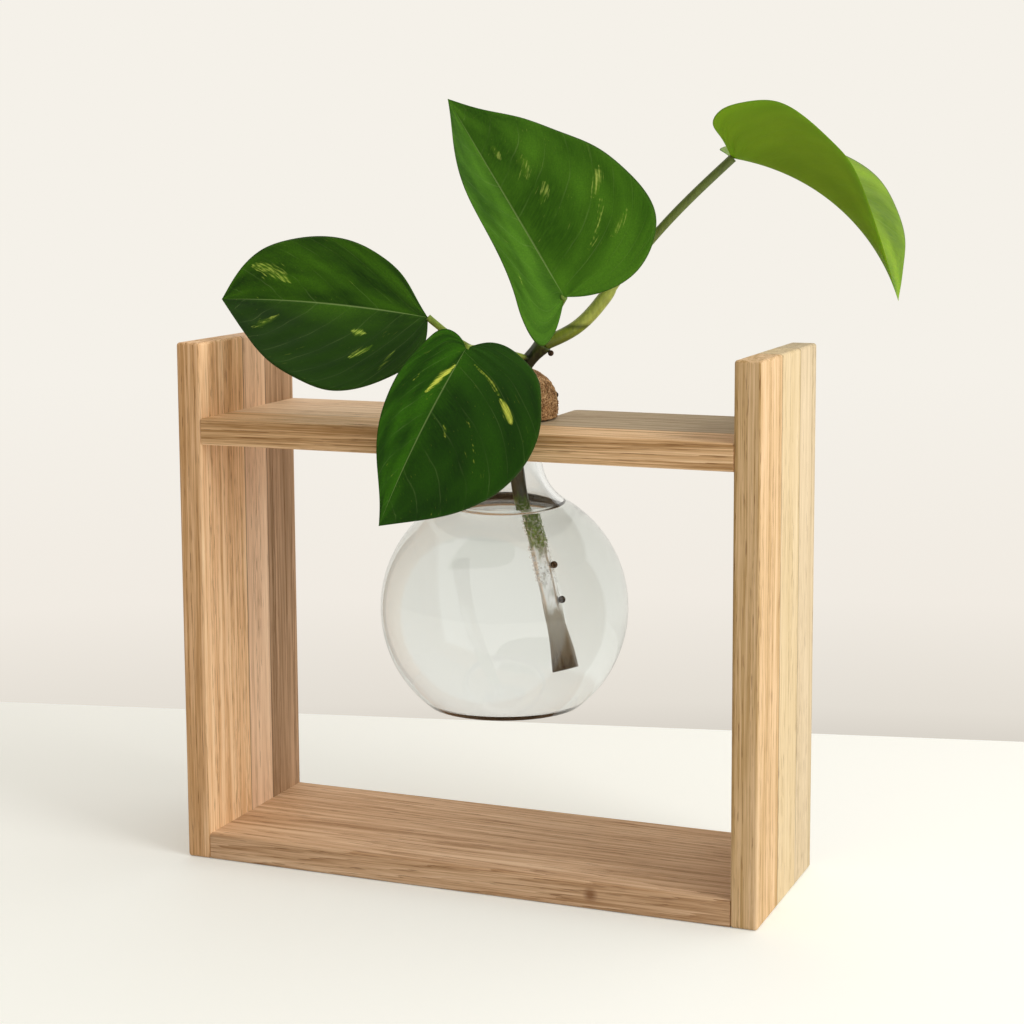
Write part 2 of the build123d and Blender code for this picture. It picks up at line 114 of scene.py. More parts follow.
def add(tree, kind, settings=None, sockets=None):
    """One node: settings are its own properties, sockets its inputs, as values or as other nodes' outputs."""
    made = tree.nodes.new("ShaderNode" + kind)
    for key, value in (settings or {}).items():
        setattr(made, key, value)
    for key, value in (sockets or {}).items():
        if isinstance(value, bpy.types.NodeSocket):
            tree.links.new(value, made.inputs[key])
        else:
            made.inputs[key].default_value = value
    return made


def material(name):
    """An empty material and its node tree."""
    made = bpy.data.materials.new(name)
    made.use_nodes = True
    made.node_tree.nodes.clear()
    return made, made.node_tree


def shade(made, sockets):
    """The material, finished with one shader that has these sockets."""
    shader = add(made.node_tree, "BsdfPrincipled", sockets=sockets)
    add(made.node_tree, "OutputMaterial", sockets={"Surface": shader.outputs[0]})
    return made


def own_place(tree):
    """Where a point lies in its own object, for patterns that run through it."""
    return add(tree, "TexCoord").outputs["Object"]


def ramp(tree, value, stops):
    """A colour ramp of (place, hex) stops along a value."""
    made = add(tree, "ValToRGB", sockets={"Fac": value})
    while len(made.color_ramp.elements) < len(stops):
        made.color_ramp.elements.new(0.5)
    for element, (place, hex_colour) in zip(made.color_ramp.elements, stops):
        element.position = place
        element.color = paint(hex_colour)
    return made.outputs["Color"]


def mix(tree, amount, first, second):
    """Two colours blended by an amount."""
    return add(tree, "Mix", {"data_type": "RGBA"}, {0: amount, 6: first, 7: second}).outputs[2]


def layered(tree, tone, layers):
    """A tone with others laid over it in turn, each by its own amount."""
    for amount, hex_colour in layers:
        tone = mix(tree, amount, tone, paint(hex_colour))
    return tone


def spread(tree, value, low, high, to_low=0.0, to_high=1.0):
    """A value stretched from one range to another, and held at its ends."""
    sockets = {0: value, 1: low, 2: high, 3: to_low, 4: to_high}
    return add(tree, "MapRange", {"clamp": True}, sockets).outputs[0]


def maths(tree, operation, first, second=0.0, third=0.0):
    """The result of one math node."""
    return add(tree, "Math", {"operation": operation}, {0: first, 1: second, 2: third}).outputs[0]


def weighted(tree, value, weight, start):
    """A value about a half, times a weight, added to what came before."""
    return maths(tree, "MULTIPLY_ADD", maths(tree, "SUBTRACT", value, 0.5), weight, start)


def noise(tree, place, scale, detail, distortion=0.0):
    """Noise about a half, with one over the scale as the size of its grains."""
    sockets = {"Vector": place, "Scale": scale, "Detail": detail, "Distortion": distortion}
    return add(tree, "TexNoise", sockets=sockets).outputs["Fac"]


def compared(tree, operation, place, other):
    """A place compared with another: DISTANCE, or DOT_PRODUCT for how far it looks the same way."""
    return add(tree, "VectorMath", {"operation": operation}, {0: place, 1: other}).outputs["Value"]


def relief(tree, height, strength, depth):
    """A bump of a height pattern, as deep as the depth says."""
    return add(tree, "Bump", sockets={"Height": height, "Strength": strength, "Distance": depth}).outputs[0]


# %% [markdown]
# ## Light
# Daylight comes from a tall window on the right and a little from the front. A soft lamp of that shape stands
# for it, and a warm world fills the shade, more from the side of the window and the wall than from the room.
# The camera sees another world: a pale wall with painted shade where it meets the table, so the background is
# bright without more light on the wood. The full globe is a strong lens that turns the wall upside down, so what
# is seen through glass has its own slower run of tones. Reflections see the wall, and a dimmer room before it.
# A ray through clear glass counts as glossy too, so it is taken out of the reflections.

# %% Light the scene
# The lowest wall tones are painted shade where the wall meets the table.
WALL_TONES = ((0.0, "D3CDC3"), (0.12, "E4DED4"), (0.40, "F1EBE2"), (1.0, "F5F1E9"))
WALL_LOW = -0.27
WALL_HIGH = -0.10
FILL_COLOUR = "FFF3E4"
FILL_SIDE = (0.7, 0.6, 0.4)
FILL_LOW = 0.12
FILL_HIGH = 1.15
ROOM_STRENGTH = 0.3
ROOM_BLEND = 0.3
GLASS_TONES = ((0.0, "D4D2CA"), (0.35, "E6E4DD"), (0.65, "F4F2EC"), (1.0, "FBFAF6"))
GLASS_SIDE = (0.35, 0.0, 0.94)
GLASS_LOW = -0.8
GLASS_HIGH = 0.5

world = bpy.data.worlds.new("room")
bpy.context.scene.world = world
world.use_nodes = True
sky = world.node_tree
sky.nodes.clear()


def seen_directly(tree):
    """One for rays of the camera and rays through glass, zero for light on a surface."""
    ray = add(tree, "LightPath")
    return maths(tree, "MAXIMUM", ray.outputs["Is Camera Ray"], ray.outputs["Is Transmission Ray"])


direction = add(sky, "TexCoord").outputs["Generated"]
way = add(sky, "SeparateXYZ", sockets={0: direction})
wall_tone = ramp(sky, spread(sky, way.outputs["Z"], WALL_LOW, WALL_HIGH), WALL_TONES)
through_way = compared(sky, "DOT_PRODUCT", direction, GLASS_SIDE)
through_tone = ramp(sky, spread(sky, through_way, GLASS_LOW, GLASS_HIGH), GLASS_TONES)
is_through = add(sky, "LightPath").outputs["Is Transmission Ray"]
seen_tone = mix(sky, is_through, wall_tone, through_tone)
room_dim = spread(sky, way.outputs["Y"], -ROOM_BLEND, ROOM_BLEND, ROOM_STRENGTH, 1.0)
facing_light = compared(sky, "DOT_PRODUCT", direction, FILL_SIDE)
fill_strength = spread(sky, facing_light, -1.0, 1.0, FILL_LOW, FILL_HIGH)
fill = add(sky, "Background", sockets={"Color": paint(FILL_COLOUR), "Strength": fill_strength})
wall = add(sky, "Background", sockets={"Color": seen_tone, "Strength": 1.0})
mirrored = add(sky, "Background", sockets={"Color": wall_tone, "Strength": room_dim})
lit = add(sky, "MixShader", sockets={0: seen_directly(sky), 1: fill.outputs[0], 2: wall.outputs[0]})
is_glossy = add(sky, "LightPath").outputs["Is Glossy Ray"]
is_mirrored = spread(sky, maths(sky, "SUBTRACT", is_glossy, is_through), 0.0, 1.0)
chosen = add(sky, "MixShader", sockets={0: is_mirrored, 1: lit.outputs[0], 2: mirrored.outputs[0]})
add(sky, "OutputWorld", sockets={"Surface": chosen.outputs[0]})

WINDOW_PLACE = (1000, -270, 690)
WINDOW_AIM = (0, 0, 100)
WINDOW_WIDTH = 560 * MM
WINDOW_HEIGHT = 900 * MM
WINDOW_WATTS = 6.4
WINDOW_COLOUR = "FFFCF6"
data = bpy.data.lights.new("window", "AREA")
data.shape = "RECTANGLE"
data.size = WINDOW_WIDTH
data.size_y = WINDOW_HEIGHT
data.energy = WINDOW_WATTS
data.color = paint(WINDOW_COLOUR)[:3]
window = bpy.data.objects.new("window", data)
window.location = Vector(WINDOW_PLACE) * MM
window.rotation_euler = (Vector(WINDOW_AIM) * MM - window.location).to_track_quat("-Z", "Y").to_euler()
window.visible_glossy = False
window.visible_transmission = False
bpy.context.scene.collection.objects.link(window)

# %% [markdown]
# ## Table top
# A plain pale table top carries the object and takes its shadow. Its back edge runs a little askew to the frame.
# A faint glow that only the camera sees makes it as bright as in daylight. Glass looks past it to the wall.

# %% Lay the table top
TABLE_REACH = 1500.0
TABLE_BACK = 208.0
TABLE_SKEW = 0.2206
TABLE_GLOW = 0.145
table_mesh = bpy.data.meshes.new("table_top")
sides = np.array((-TABLE_REACH, TABLE_REACH, TABLE_REACH, -TABLE_REACH))
ends = np.where(np.arange(4) < 2, -TABLE_REACH, TABLE_BACK + TABLE_SKEW * sides)
corners = np.stack([sides, ends, np.zeros(4)], -1) * MM
table_mesh.from_pydata(corners.tolist(), [], [(0, 1, 2, 3)])
table = bpy.data.objects.new("table_top", table_mesh)
bpy.context.scene.collection.objects.link(table)
table.visible_transmission = False
lacquer, tree = material("white lacquered board")
table_mesh.materials.append(shade(lacquer, {
    "Base Color": paint("F3F7F8"), "Roughness": 0.6, "Specular IOR Level": 0.1,
    "Emission Color": paint("EAFDFF"), "Emission Strength": maths(tree, "MULTIPLY", seen_directly(tree), TABLE_GLOW),
}))

# %% [markdown]
# ## Oak
# Planed oak has growth rings, dark open pores that run with the grain, and slow changes of tone. Each strip is
# cut from another place in a log, so one function makes the wood from the tone, the way the grain runs, and how
# far the strip lies from the heart of the log. The pattern is solid: it goes through the board, so end grain
# and long grain meet at the edges as in real wood. Pores are 0.3 mm wide in truth, and are drawn a little
# coarser, so that they show. Where two strips are glued side by side, a thin dark line runs along the joint.

# %% Make an oak material
RING_SPACING = 2.6 * MM
RING_DRIFT = 3.0
RING_WARP = 5.0
RING_WARP_SCALE = 0.5
GRAIN_STRETCH = 0.045
PORE_WIDTH = 0.4 * MM
PORE_LENGTH = 8.0 * MM
PORE_EDGES = (0.57, 0.64)
PORES_IN_RING = (0.35, 0.95, 0.15, 1.0)
PORE_SHARE = 0.55
PORE_TONE = "6A4427"
FIBRE_WIDTH = 0.42 * MM
FIBRE_LENGTH = 26.0 * MM
FIBRE_WEIGHT = 1.1
STREAK_WIDTH = 3.2 * MM
STREAK_LENGTH = 190.0 * MM
STREAK_WEIGHT = 1.2
WAVE_UNIT = 2 * math.pi / 20
FRONT_BACK_SHADE = 0.16
TONE_PLACES = (0.12, 0.5, 0.88)
SEAM_WIDTH = 0.7 * MM
SEAM_SHARE = 0.7
SEAM_TONE = "4E331F"
KNOT_CORE = 0.8 * MM
KNOT_EDGE = 3.2 * MM
KNOT_SHARE = 0.75
KNOT_TONE = "7A4E2E"
OAK_RELIEF = 0.1 * MM
OAK_ROUGHNESS = (0.3, 0.7, 0.55, 0.72)


def oak(name, seams, tones, grain, heart_mm, tilt_deg, ring_weight, seed, knot_mm=None):
    """Planed oak: a saw-tooth of the distance from the log's heart gives rings, stretched noise the rest.
    A glue line is dark within half its width of its place in Y. Faces that look along Y carry painted shade."""
    made, tree = material(name)
    place = own_place(tree)
    turn = (0.0, math.pi / 2, 0.0) if grain == "X" else (0.0, 0.0, 0.0)
    along_z = add(tree, "Mapping", sockets={"Vector": place, "Rotation": turn}).outputs[0]
    tilt = math.radians(tilt_deg)
    from_heart = {"Vector": along_z, "Location": [v * MM for v in heart_mm], "Rotation": (tilt, tilt / 2, 0.0)}
    log = add(tree, "Mapping", sockets=from_heart).outputs[0]
    squeezed = add(tree, "Mapping", sockets={"Vector": log, "Scale": (1.0, 1.0, GRAIN_STRETCH)}).outputs[0]

    def streaks(width, length, detail, shift):
        """Noise in streaks that run with the grain."""
        scale = (1 / width, 1 / width, 1 / length)
        sockets = {"Vector": along_z, "Scale": scale, "Location": (seed + shift, seed * 3.1, seed * 1.7)}
        return noise(tree, add(tree, "Mapping", sockets=sockets).outputs[0], 1.0, detail)

    wide = streaks(STREAK_WIDTH, STREAK_LENGTH, 3.0, 0.0)
    rings = add(tree, "TexWave", {"wave_type": "RINGS", "rings_direction": "Z", "wave_profile": "SAW"}, {
        "Vector": squeezed, "Scale": WAVE_UNIT / RING_SPACING, "Distortion": RING_WARP, "Detail": 3.0,
        "Detail Scale": RING_WARP_SCALE, "Phase Offset": spread(tree, wide, 0.3, 0.7, -RING_DRIFT, RING_DRIFT),
    }).outputs["Fac"]
    fibres = streaks(FIBRE_WIDTH, FIBRE_LENGTH, 2.0, 5.0)
    pores = spread(tree, streaks(PORE_WIDTH, PORE_LENGTH, 1.0, 11.0), *PORE_EDGES)
    open_pores = maths(tree, "MULTIPLY", pores, spread(tree, rings, *PORES_IN_RING))

    # Painted shade: faces that look to the front or back are pushed towards the dark tone.
    facing = add(tree, "SeparateXYZ", sockets={0: add(tree, "TexCoord").outputs["Normal"]}).outputs["Y"]
    painted_face_shade = spread(tree, maths(tree, "ABSOLUTE", facing), 0.5, 0.9, 0.5, 0.5 + FRONT_BACK_SHADE)
    share = weighted(tree, wide, STREAK_WEIGHT, painted_face_shade)
    share = weighted(tree, fibres, FIBRE_WEIGHT, share)
    share = weighted(tree, rings, ring_weight, share)
    tone = ramp(tree, share, tuple(zip(TONE_PLACES, tones.split())))
    layers = [(spread(tree, open_pores, 0.0, 1.0, 0.0, PORE_SHARE), PORE_TONE)]
    depth = add(tree, "SeparateXYZ", sockets={0: place}).outputs["Y"]
    for seam in seams:
        apart = maths(tree, "ABSOLUTE", maths(tree, "SUBTRACT", depth, seam))
        layers.append((spread(tree, apart, SEAM_WIDTH / 4, SEAM_WIDTH / 2, SEAM_SHARE, 0.0), SEAM_TONE))
    if knot_mm:
        away = compared(tree, "DISTANCE", place, Vector(knot_mm) * MM)
        layers.append((spread(tree, away, KNOT_CORE, KNOT_EDGE, KNOT_SHARE, 0.0), KNOT_TONE))
    grooves = maths(tree, "MULTIPLY_ADD", open_pores, -1.0, fibres)
    return shade(made, {
        "Base Color": layered(tree, tone, layers), "Roughness": spread(tree, fibres, *OAK_ROUGHNESS),
        "Specular IOR Level": 0.15, "Normal": relief(tree, grooves, 0.4, OAK_RELIEF),
    })


# %% [markdown]
# ## Which strip is which
# The photograph shows the left upright as a rosy front strip, a pale middle one and a browner back one. The
# right one is honey coloured in front and pale outside. Rings that run nearly along the board give straight
# lines, and a tilted heart gives the arches on the base.

# %% Finish the wooden frame
OAK_STRIPS = {
    "left_upright_front_stave": ("FBDDB6 E8C095 C39868", "Z", (31, 12, 0), 0.6, 0.30, 1.3),
    "left_upright_middle_stave": ("FBDDC0 E6C4A5 C8A789", "Z", (-44, 20, 0), 0.8, 0.22, 4.7),
    "left_upright_rear_stave": ("CFAD8E AC8D6F 8A6C4D", "Z", (58, -9, 0), 0.6, 0.34, 9.2),
    "right_upright_front_stave": ("EACDA8 D8B98F B79665", "Z", (25, 52, 0), 0.9, 0.30, 13.8),
    "right_upright_middle_stave": ("E4D3B4 D9C6A0 C9B48C", "Z", (-62, 8, 0), 0.6, 0.14, 17.4),
    "right_upright_rear_stave": ("E2D2B6 D4C3A4 C0AF8C", "Z", (70, -14, 0), 0.9, 0.20, 21.9),
    "base_board": ("EBCFB0 D4B290 B18C68", "X", (14, 22, 0), 3.0, 0.34, 26.1, (52, -37.5, 5.5)),
    "shelf_front_rail": ("FBDCB4 DDB78B AE875A", "X", (12, 34, 0), 2.0, 0.40, 31.6),
    "shelf_rear_left_block": ("FDE8CE F0D3B4 D2B18C", "X", (30, -26, 0), 1.2, 0.26, 36.4),
    "shelf_rear_right_block": ("CDBCA0 B6A48A 98866A", "X", (-34, -20, 0), 1.6, 0.26, 41.5),
}
DOWEL_WOOD = ("E6C8A0 D0AC80 B68F62", "X", (9, 9, 0), 1.0, 0.2)
for dowel_place, dowel_seed in (("base", 46.3), ("shelf", 47.2), ("rail", 48.1)):
    OAK_STRIPS[dowel_place + "_dowels"] = (*DOWEL_WOOD, dowel_seed)
depth_end = max(vertex.co.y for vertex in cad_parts["base_board"].data.vertices)
for node_name, wood in OAK_STRIPS.items():
    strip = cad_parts[node_name]
    across = [vertex.co.y for vertex in strip.data.vertices]
    seams = [end for end in (min(across), max(across)) if abs(end) < depth_end - MM]
    strip.material_slots[0].material = oak(f"planed oak {node_name}", seams, *wood)
print("oak strips finished:", len(OAK_STRIPS))

# %% [markdown]
# ## Surfaces from arrays
# Everything that is not wood is a surface worked out with numpy. A grid of points becomes a mesh in one step.
# Where the rows close on themselves the grid wraps, and where a row shrinks to one point its doubles are merged.


# %% Mesh and curve helpers
def surface(name, grid, finish, body, replaced=(), uv=None, marks=None):
    """Mesh of a grid of points, one row per step and one column per side; the last column joins the first.
    Marks are named arrays with one number for each point."""
    rows, columns = grid.shape[:2]
    index = np.arange(rows * columns).reshape(rows, columns)
    across = np.roll(index, -1, 1)
    quads = np.stack([index[:-1], across[:-1], across[1:], index[1:]], -1).reshape(-1, 4)
    mesh = bpy.data.meshes.new(name)
    mesh.from_pydata(grid.reshape(-1, 3).tolist(), [], quads.tolist())
    if uv is not None:
        layer = mesh.uv_layers.new(name="surface")
        layer.data.foreach_set("uv", uv.reshape(-1, 2)[quads.ravel()].astype(np.float32).ravel())
    for mark, values in (marks or {}).items():
        mesh.attributes.new(mark, "FLOAT", "POINT").data.foreach_set("value", values.astype(np.float32).ravel())
    work = bmesh.new()
    work.from_mesh(mesh)
    bmesh.ops.remove_doubles(work, verts=work.verts, dist=1e-7)
    bmesh.ops.recalc_face_normals(work, faces=work.faces)
    work.to_mesh(mesh)
    work.free()
    return piece(name, mesh, finish, body, replaced)


def piece(name, mesh, finish, body, replaced=()):
    """An object of a finished mesh, smooth, at the origin, riding on its body."""
    mesh.materials.append(finish)
    mesh.polygons.foreach_set("use_smooth", np.ones(len(mesh.polygons), bool))
    made = bpy.data.objects.new(name, mesh)
    bpy.context.scene.collection.objects.link(made)
    if replaced:
        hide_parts(*replaced)
    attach(made, body)
    print(name, len(mesh.polygons), "faces")
    return made


def smooth_line(points, count):
    """Natural cubic spline: it passes through every point, and its bending moment is zero at both ends."""
    points = np.asarray(points, float)
    gaps = np.linalg.norm(np.diff(points, axis=0), axis=1)
    knots = np.concatenate([[0.0], np.cumsum(gaps)])
    size = len(points)
    system = np.eye(size)
    wanted = np.zeros_like(points)
    inner = np.arange(1, size - 1)
    system[inner, inner - 1] = gaps[:-1]
    system[inner, inner] = 2 * (gaps[:-1] + gaps[1:])
    system[inner, inner + 1] = gaps[1:]
    slopes = np.diff(points, axis=0) / gaps[:, None]
    wanted[1:-1] = 6 * np.diff(slopes, axis=0)
    moments = np.linalg.solve(system, wanted)
    at = np.linspace(0, knots[-1], count)
    span = np.clip(np.searchsorted(knots, at, side="right") - 1, 0, size - 2)
    gap = gaps[span][:, None]
    before = (at - knots[span])[:, None]
    after = gap - before
    curve = (moments[span] * after**3 + moments[span + 1] * before**3) / (6 * gap)
    curve += (points[span] / gap - moments[span] * gap / 6) * after
    return curve + (points[span + 1] / gap - moments[span + 1] * gap / 6) * before


def tube(path, radii, sides):
    """A round section carried along a path; each ring stands square to the path. Ends close to a point."""
    ahead_of = np.gradient(path, axis=0)
    ahead_of /= np.linalg.norm(ahead_of, axis=1)[:, None]
    side = np.cross(ahead_of, (0.0, 1.0, 0.0))
    side /= np.linalg.norm(side, axis=1)[:, None]
    other = np.cross(ahead_of, side)
    angle = np.linspace(0, 2 * np.pi, sides, endpoint=False)
    ring = np.cos(angle)[None, :, None] * side[:, None] + np.sin(angle)[None, :, None] * other[:, None]
    radii = np.asarray(radii, float)
    radii = radii[:, None] if radii.ndim == 1 else radii
    rings = path[:, None] + ring * radii[..., None]
    first = np.repeat(path[:1, None], sides, 1)
    last = np.repeat(path[-1:, None], sides, 1)
    return np.concatenate([first, rings, last])


def turned(profile, centre, sides):
    """A profile of (radius, height) points turned about an upright axis through the centre."""
    profile = np.asarray(profile, float)
    angle = np.linspace(0, 2 * np.pi, sides, endpoint=False)
    x = centre[0] + profile[:, :1] * np.cos(angle)
    y = centre[1] + profile[:, :1] * np.sin(angle)
    z = np.repeat(profile[:, 1:], sides, 1)
    return np.stack([x, y, z], -1)


def arc(centre_r, centre_z, radius, start_deg, end_deg, count):
    """Points of a circle in the profile, from one angle to another."""
    angle = np.radians(np.linspace(start_deg, end_deg, count))
    return np.stack([centre_r + radius * np.cos(angle), centre_z + radius * np.sin(angle)], -1)


# %% [markdown]
# ## The glass
# A blown globe is one wall of clear glass: flat base, ball, hollowed shoulder, neck and a flared lip that sits
# on the shelf. The outer and inner wall are turned as one closed profile, with circles where the glass blower
# left them. Its overall size is read from the frame.

# %% Blow the globe
glass_low, glass_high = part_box("glass_globe")
GLASS_WALL = 1.8 * MM
GLASS_FLOOR = 3.0 * MM
SHOULDER_ROUND = 20.0 * MM
NECK_RADIUS = 14.3 * MM
LIP_RADIUS = 19.0 * MM
LIP_FLARE = 1.5 * MM
HEEL_ROUND = 2.2 * MM
KICK_RADIUS = 22.0 * MM
KICK_HEIGHT = 0.8 * MM
GLASS_SIDES = 192
BALL_STEPS = 64
BEND_STEPS = 20
LIP_STEPS = 12
FLARE_STEPS = 8
HEEL_STEPS = 10
KICK_STEPS = 16
BASE_DROP = 37.0 * MM
globe_radius = (glass_high.x - glass_low.x) / 2
neck_axis = ((glass_high.x + glass_low.x) / 2, (glass_high.y + glass_low.y) / 2)
base_height = glass_low.z
lip_top = glass_high.z
globe_height = base_height + BASE_DROP
bore_radius = NECK_RADIUS - GLASS_WALL
shoulder_r = NECK_RADIUS + SHOULDER_ROUND
shoulder_rise = math.sqrt((globe_radius + SHOULDER_ROUND) ** 2 - shoulder_r**2)
shoulder_height = globe_height + shoulder_rise
meet_deg = math.degrees(math.atan2(shoulder_rise, shoulder_r))
flare_r = NECK_RADIUS + LIP_FLARE
flare_height = lip_top - GLASS_WALL - LIP_FLARE
inner_radius = globe_radius - GLASS_WALL


def heel(radius, drop, rounding):
    """The rounded corner between a flat floor and the ball, as an arc that touches both."""
    rise = rounding - drop
    centre_r = math.sqrt((radius - rounding) ** 2 - rise**2)
    meets = math.degrees(math.atan2(rise, centre_r))
    return meets, arc(centre_r, globe_height + rise, rounding, -90, meets, HEEL_STEPS)


outer_meets, outer_heel = heel(globe_radius, BASE_DROP, HEEL_ROUND)
inner_meets, inner_heel = heel(inner_radius, BASE_DROP - GLASS_FLOOR, HEEL_ROUND)
kick_r = np.linspace(0, KICK_RADIUS, KICK_STEPS)
kick = np.stack([kick_r, base_height + KICK_HEIGHT * (1 - (kick_r / KICK_RADIUS) ** 2)], -1)
rim_centre = (LIP_RADIUS - GLASS_WALL / 2, lip_top - GLASS_WALL / 2)
outside = np.concatenate([
    kick,
    outer_heel,
    arc(0, globe_height, globe_radius, outer_meets, meet_deg, BALL_STEPS)[1:],
    arc(shoulder_r, shoulder_height, SHOULDER_ROUND, 180 + meet_deg, 180, BEND_STEPS)[1:],
    arc(flare_r, flare_height, LIP_FLARE, 180, 90, FLARE_STEPS),
    arc(*rim_centre, GLASS_WALL / 2, -90, 90, LIP_STEPS),
])
inside = np.concatenate([
    arc(flare_r, flare_height, LIP_FLARE + GLASS_WALL, 90, 180, LIP_STEPS),
    arc(shoulder_r, shoulder_height, SHOULDER_ROUND + GLASS_WALL, 180, 180 + meet_deg, BEND_STEPS),
    arc(0, globe_height, inner_radius, meet_deg, inner_meets, BALL_STEPS)[1:],
    inner_heel[::-1][1:],
    [(0.0, base_height + GLASS_FLOOR)],
])
print("globe", round(2 * globe_radius / MM, 1), "mm across, neck bore", round(2 * bore_radius / MM, 1), "mm")

# %% [markdown]
# ## Clear glass and water
# Soda glass bends light with an index of 1.5, and water with 1.33. A path tracer casts a dark shadow through
# solid glass, because it can't follow light through it in a straight line. So shadow rays pass through, and the
# stem in the water stays lit.

# %% Clear materials
GLASS_INDEX = 1.5
WATER_INDEX = 1.333


def clear(name, tint, index):
    """A clear solid that bends what is seen through it and lets shadow rays pass."""
    made, tree = material(name)
    body = add(tree, "BsdfPrincipled", sockets={
        "Base Color": paint(tint), "Roughness": 0.0, "IOR": index, "Transmission Weight": 1.0,
    })
    straight = add(tree, "BsdfTransparent", sockets={"Color": paint(tint)})
    is_shadow = add(tree, "LightPath").outputs["Is Shadow Ray"]
    both = add(tree, "MixShader", sockets={0: is_shadow, 1: body.outputs[0], 2: straight.outputs[0]})
    add(tree, "OutputMaterial", sockets={"Surface": both.outputs[0]})
    return made


soda_glass = clear("blown soda glass", "FCFDFC", GLASS_INDEX)
still_water = clear("still tap water", "FCFDFC", WATER_INDEX)
globe_grid = turned(np.concatenate([outside, inside]), neck_axis, GLASS_SIDES)
surface("blown_globe", globe_grid, soda_glass, "vase", ["glass_globe"])

# %% [markdown]
# ## The water
# The water fills the ball up to the shoulder. Its body reaches a tenth of a millimetre into the glass, so no
# film of air is left between them. Near the wall the surface climbs: its height over the level is twice the
# capillary length times the sine of half its slope. The wall leans in here, so the edge curls over, and the lens
# of water around it makes that edge look wider and deeper than it is.

# %% Fill the globe
WATER_OVERLAP = 0.1 * MM
CAPILLARY_LENGTH = 2.7 * MM
WATER_EDGE = 21.8 * MM
EDGE_SLOPE_DEG = 120.0
END_SLOPE_DEG = 1.0
LEVEL_STEPS = 60
CURL_STEPS = 8
WATER_SIDES = 128
water_radius = inner_radius + WATER_OVERLAP
hollow_radius = SHOULDER_ROUND + GLASS_WALL - WATER_OVERLAP
edge_drop = math.sqrt(hollow_radius**2 - (shoulder_r - WATER_EDGE) ** 2)
edge_height = shoulder_height - edge_drop
edge_deg = math.degrees(math.atan2(edge_drop, shoulder_r - WATER_EDGE))
half_slope = np.radians(np.linspace(EDGE_SLOPE_DEG, END_SLOPE_DEG, LEVEL_STEPS)) / 2
climb = 2 * CAPILLARY_LENGTH * np.sin(half_slope)
reach = CAPILLARY_LENGTH * (np.log(np.tan(half_slope / 2)) + 2 * np.cos(half_slope))
water_level = edge_height - climb[0]
floor_meets, floor_heel = heel(water_radius, BASE_DROP - GLASS_FLOOR + WATER_OVERLAP, HEEL_ROUND)
water_top = np.stack([WATER_EDGE + reach - reach[0], water_level + climb], -1)
water_profile = np.concatenate([
    [(0.0, base_height + GLASS_FLOOR - WATER_OVERLAP)],
    floor_heel,
    arc(0, globe_height, water_radius, floor_meets, meet_deg, BALL_STEPS)[1:],
    arc(shoulder_r, shoulder_height, hollow_radius, 180 + meet_deg, 180 + edge_deg, CURL_STEPS)[1:],
    water_top[1:][water_top[1:, 0] > 0],
    [(0.0, water_level)],
])
surface("water", turned(water_profile, neck_axis, WATER_SIDES), still_water, "vase")
print("water level", round(water_level / MM, 1), "mm, edge", round(edge_height / MM, 1), "mm")

# %% [markdown]
# ## The cutting's skeleton
# The stem leans to the right below the neck and back above it. Its points are shares of its swing and height,
# as in the construction. Each stalk leaves the stem near its top and ends where a leaf begins.

# %% Stem and stalk points
STEM_RADIUS = 2.75 * MM
STEM_HEIGHT = 118.0 * MM
STEM_SWING = 12.0 * MM
STEM_NECK_OFFSET = 4.0 * MM
STEM_FLOOR_ROOM = 19.5 * MM
STEM_PATH_SHARES = np.array([(1.3, 0.0), (0.3, 0.475), (0.0, 0.70), (0.33, 0.915), (1.04, 1.0)])
stem_points = np.stack([
    neck_axis[0] + STEM_NECK_OFFSET + STEM_SWING * STEM_PATH_SHARES[:, 0],
    np.full(len(STEM_PATH_SHARES), neck_axis[1]),
    base_height + STEM_FLOOR_ROOM + STEM_HEIGHT * STEM_PATH_SHARES[:, 1],
], -1)
stem_node = stem_points[-1]
SIDE_SHOOT_SHARE = 0.4
side_shoot = stem_points[-2] + (stem_node - stem_points[-2]) * SIDE_SHOOT_SHARE

LEAF_OFFSETS = {
    "left": np.array((-40.0, -16.0, 10.0)) * MM,
    "front": np.array((-16.0, -36.0, 1.0)) * MM,
    "top": np.array((11.0, -8.0, 18.0)) * MM,
    "right": np.array((65.0, 24.0, 68.0)) * MM,
}
leaf_bases = {name: stem_node + offset for name, offset in LEAF_OFFSETS.items()}

# %% [markdown]
# ## Stem bark and stalk skin
# Above the water the old stem is nearly black green. Below it, tiny air bubbles make it look grainy green, then
# silvery, and the cut foot is grey brown. The colour follows the height, with noise along the stem. Pale dots on
# the wet part are painted glints of air beads. Low on it lies a film of air, which throws the light back like
# silver: partly a real metallic reflection, partly painted sheen in its near-white tones.

# %% Skin materials
# The near-white stops from 0.15 to 0.29 are painted sheen of the air film.
STEM_TONES_WITH_SHEEN = (
    (0.0, "3E2E20"), (0.04, "8E7F69"), (0.15, "D2C8B4"), (0.18, "FDFCF8"), (0.29, "FCFCF4"), (0.33, "8DB04C"),
    (0.49, "5E8A2C"), (0.52, "3A4428"), (0.80, "1C2216"), (0.96, "1E2612"), (1.0, "4A5A22"),
)
STEM_ROUGHNESS = 0.36
STEM_WOBBLE = 0.05
STEM_FILM = (0.17, 0.29)
STREAK_COUNTS = (900.0, 900.0, 260.0)
STREAK_RANGE = (0.35, 0.65, 0.0, 0.28)
STREAK_TONE = "2A2A1C"
SKIN_RELIEF = 0.15 * MM
DARK_CORE = 4.0 * MM
DARK_EDGE = 7.0 * MM
DARK_TONE = "1E2612"
BEAD_SIZE = 0.9 * MM
BEAD_RANGE = (0.50, 0.60, 0.0, 0.6)
BEAD_GLINT_TONE = "E6ECD8"
SILVER_TONE = "FFFFFF"
WET_SHARE = 0.50
FILM_FADE = 0.03
FILM_RANGE = (0.48, 0.66, 1.0, 0.4)


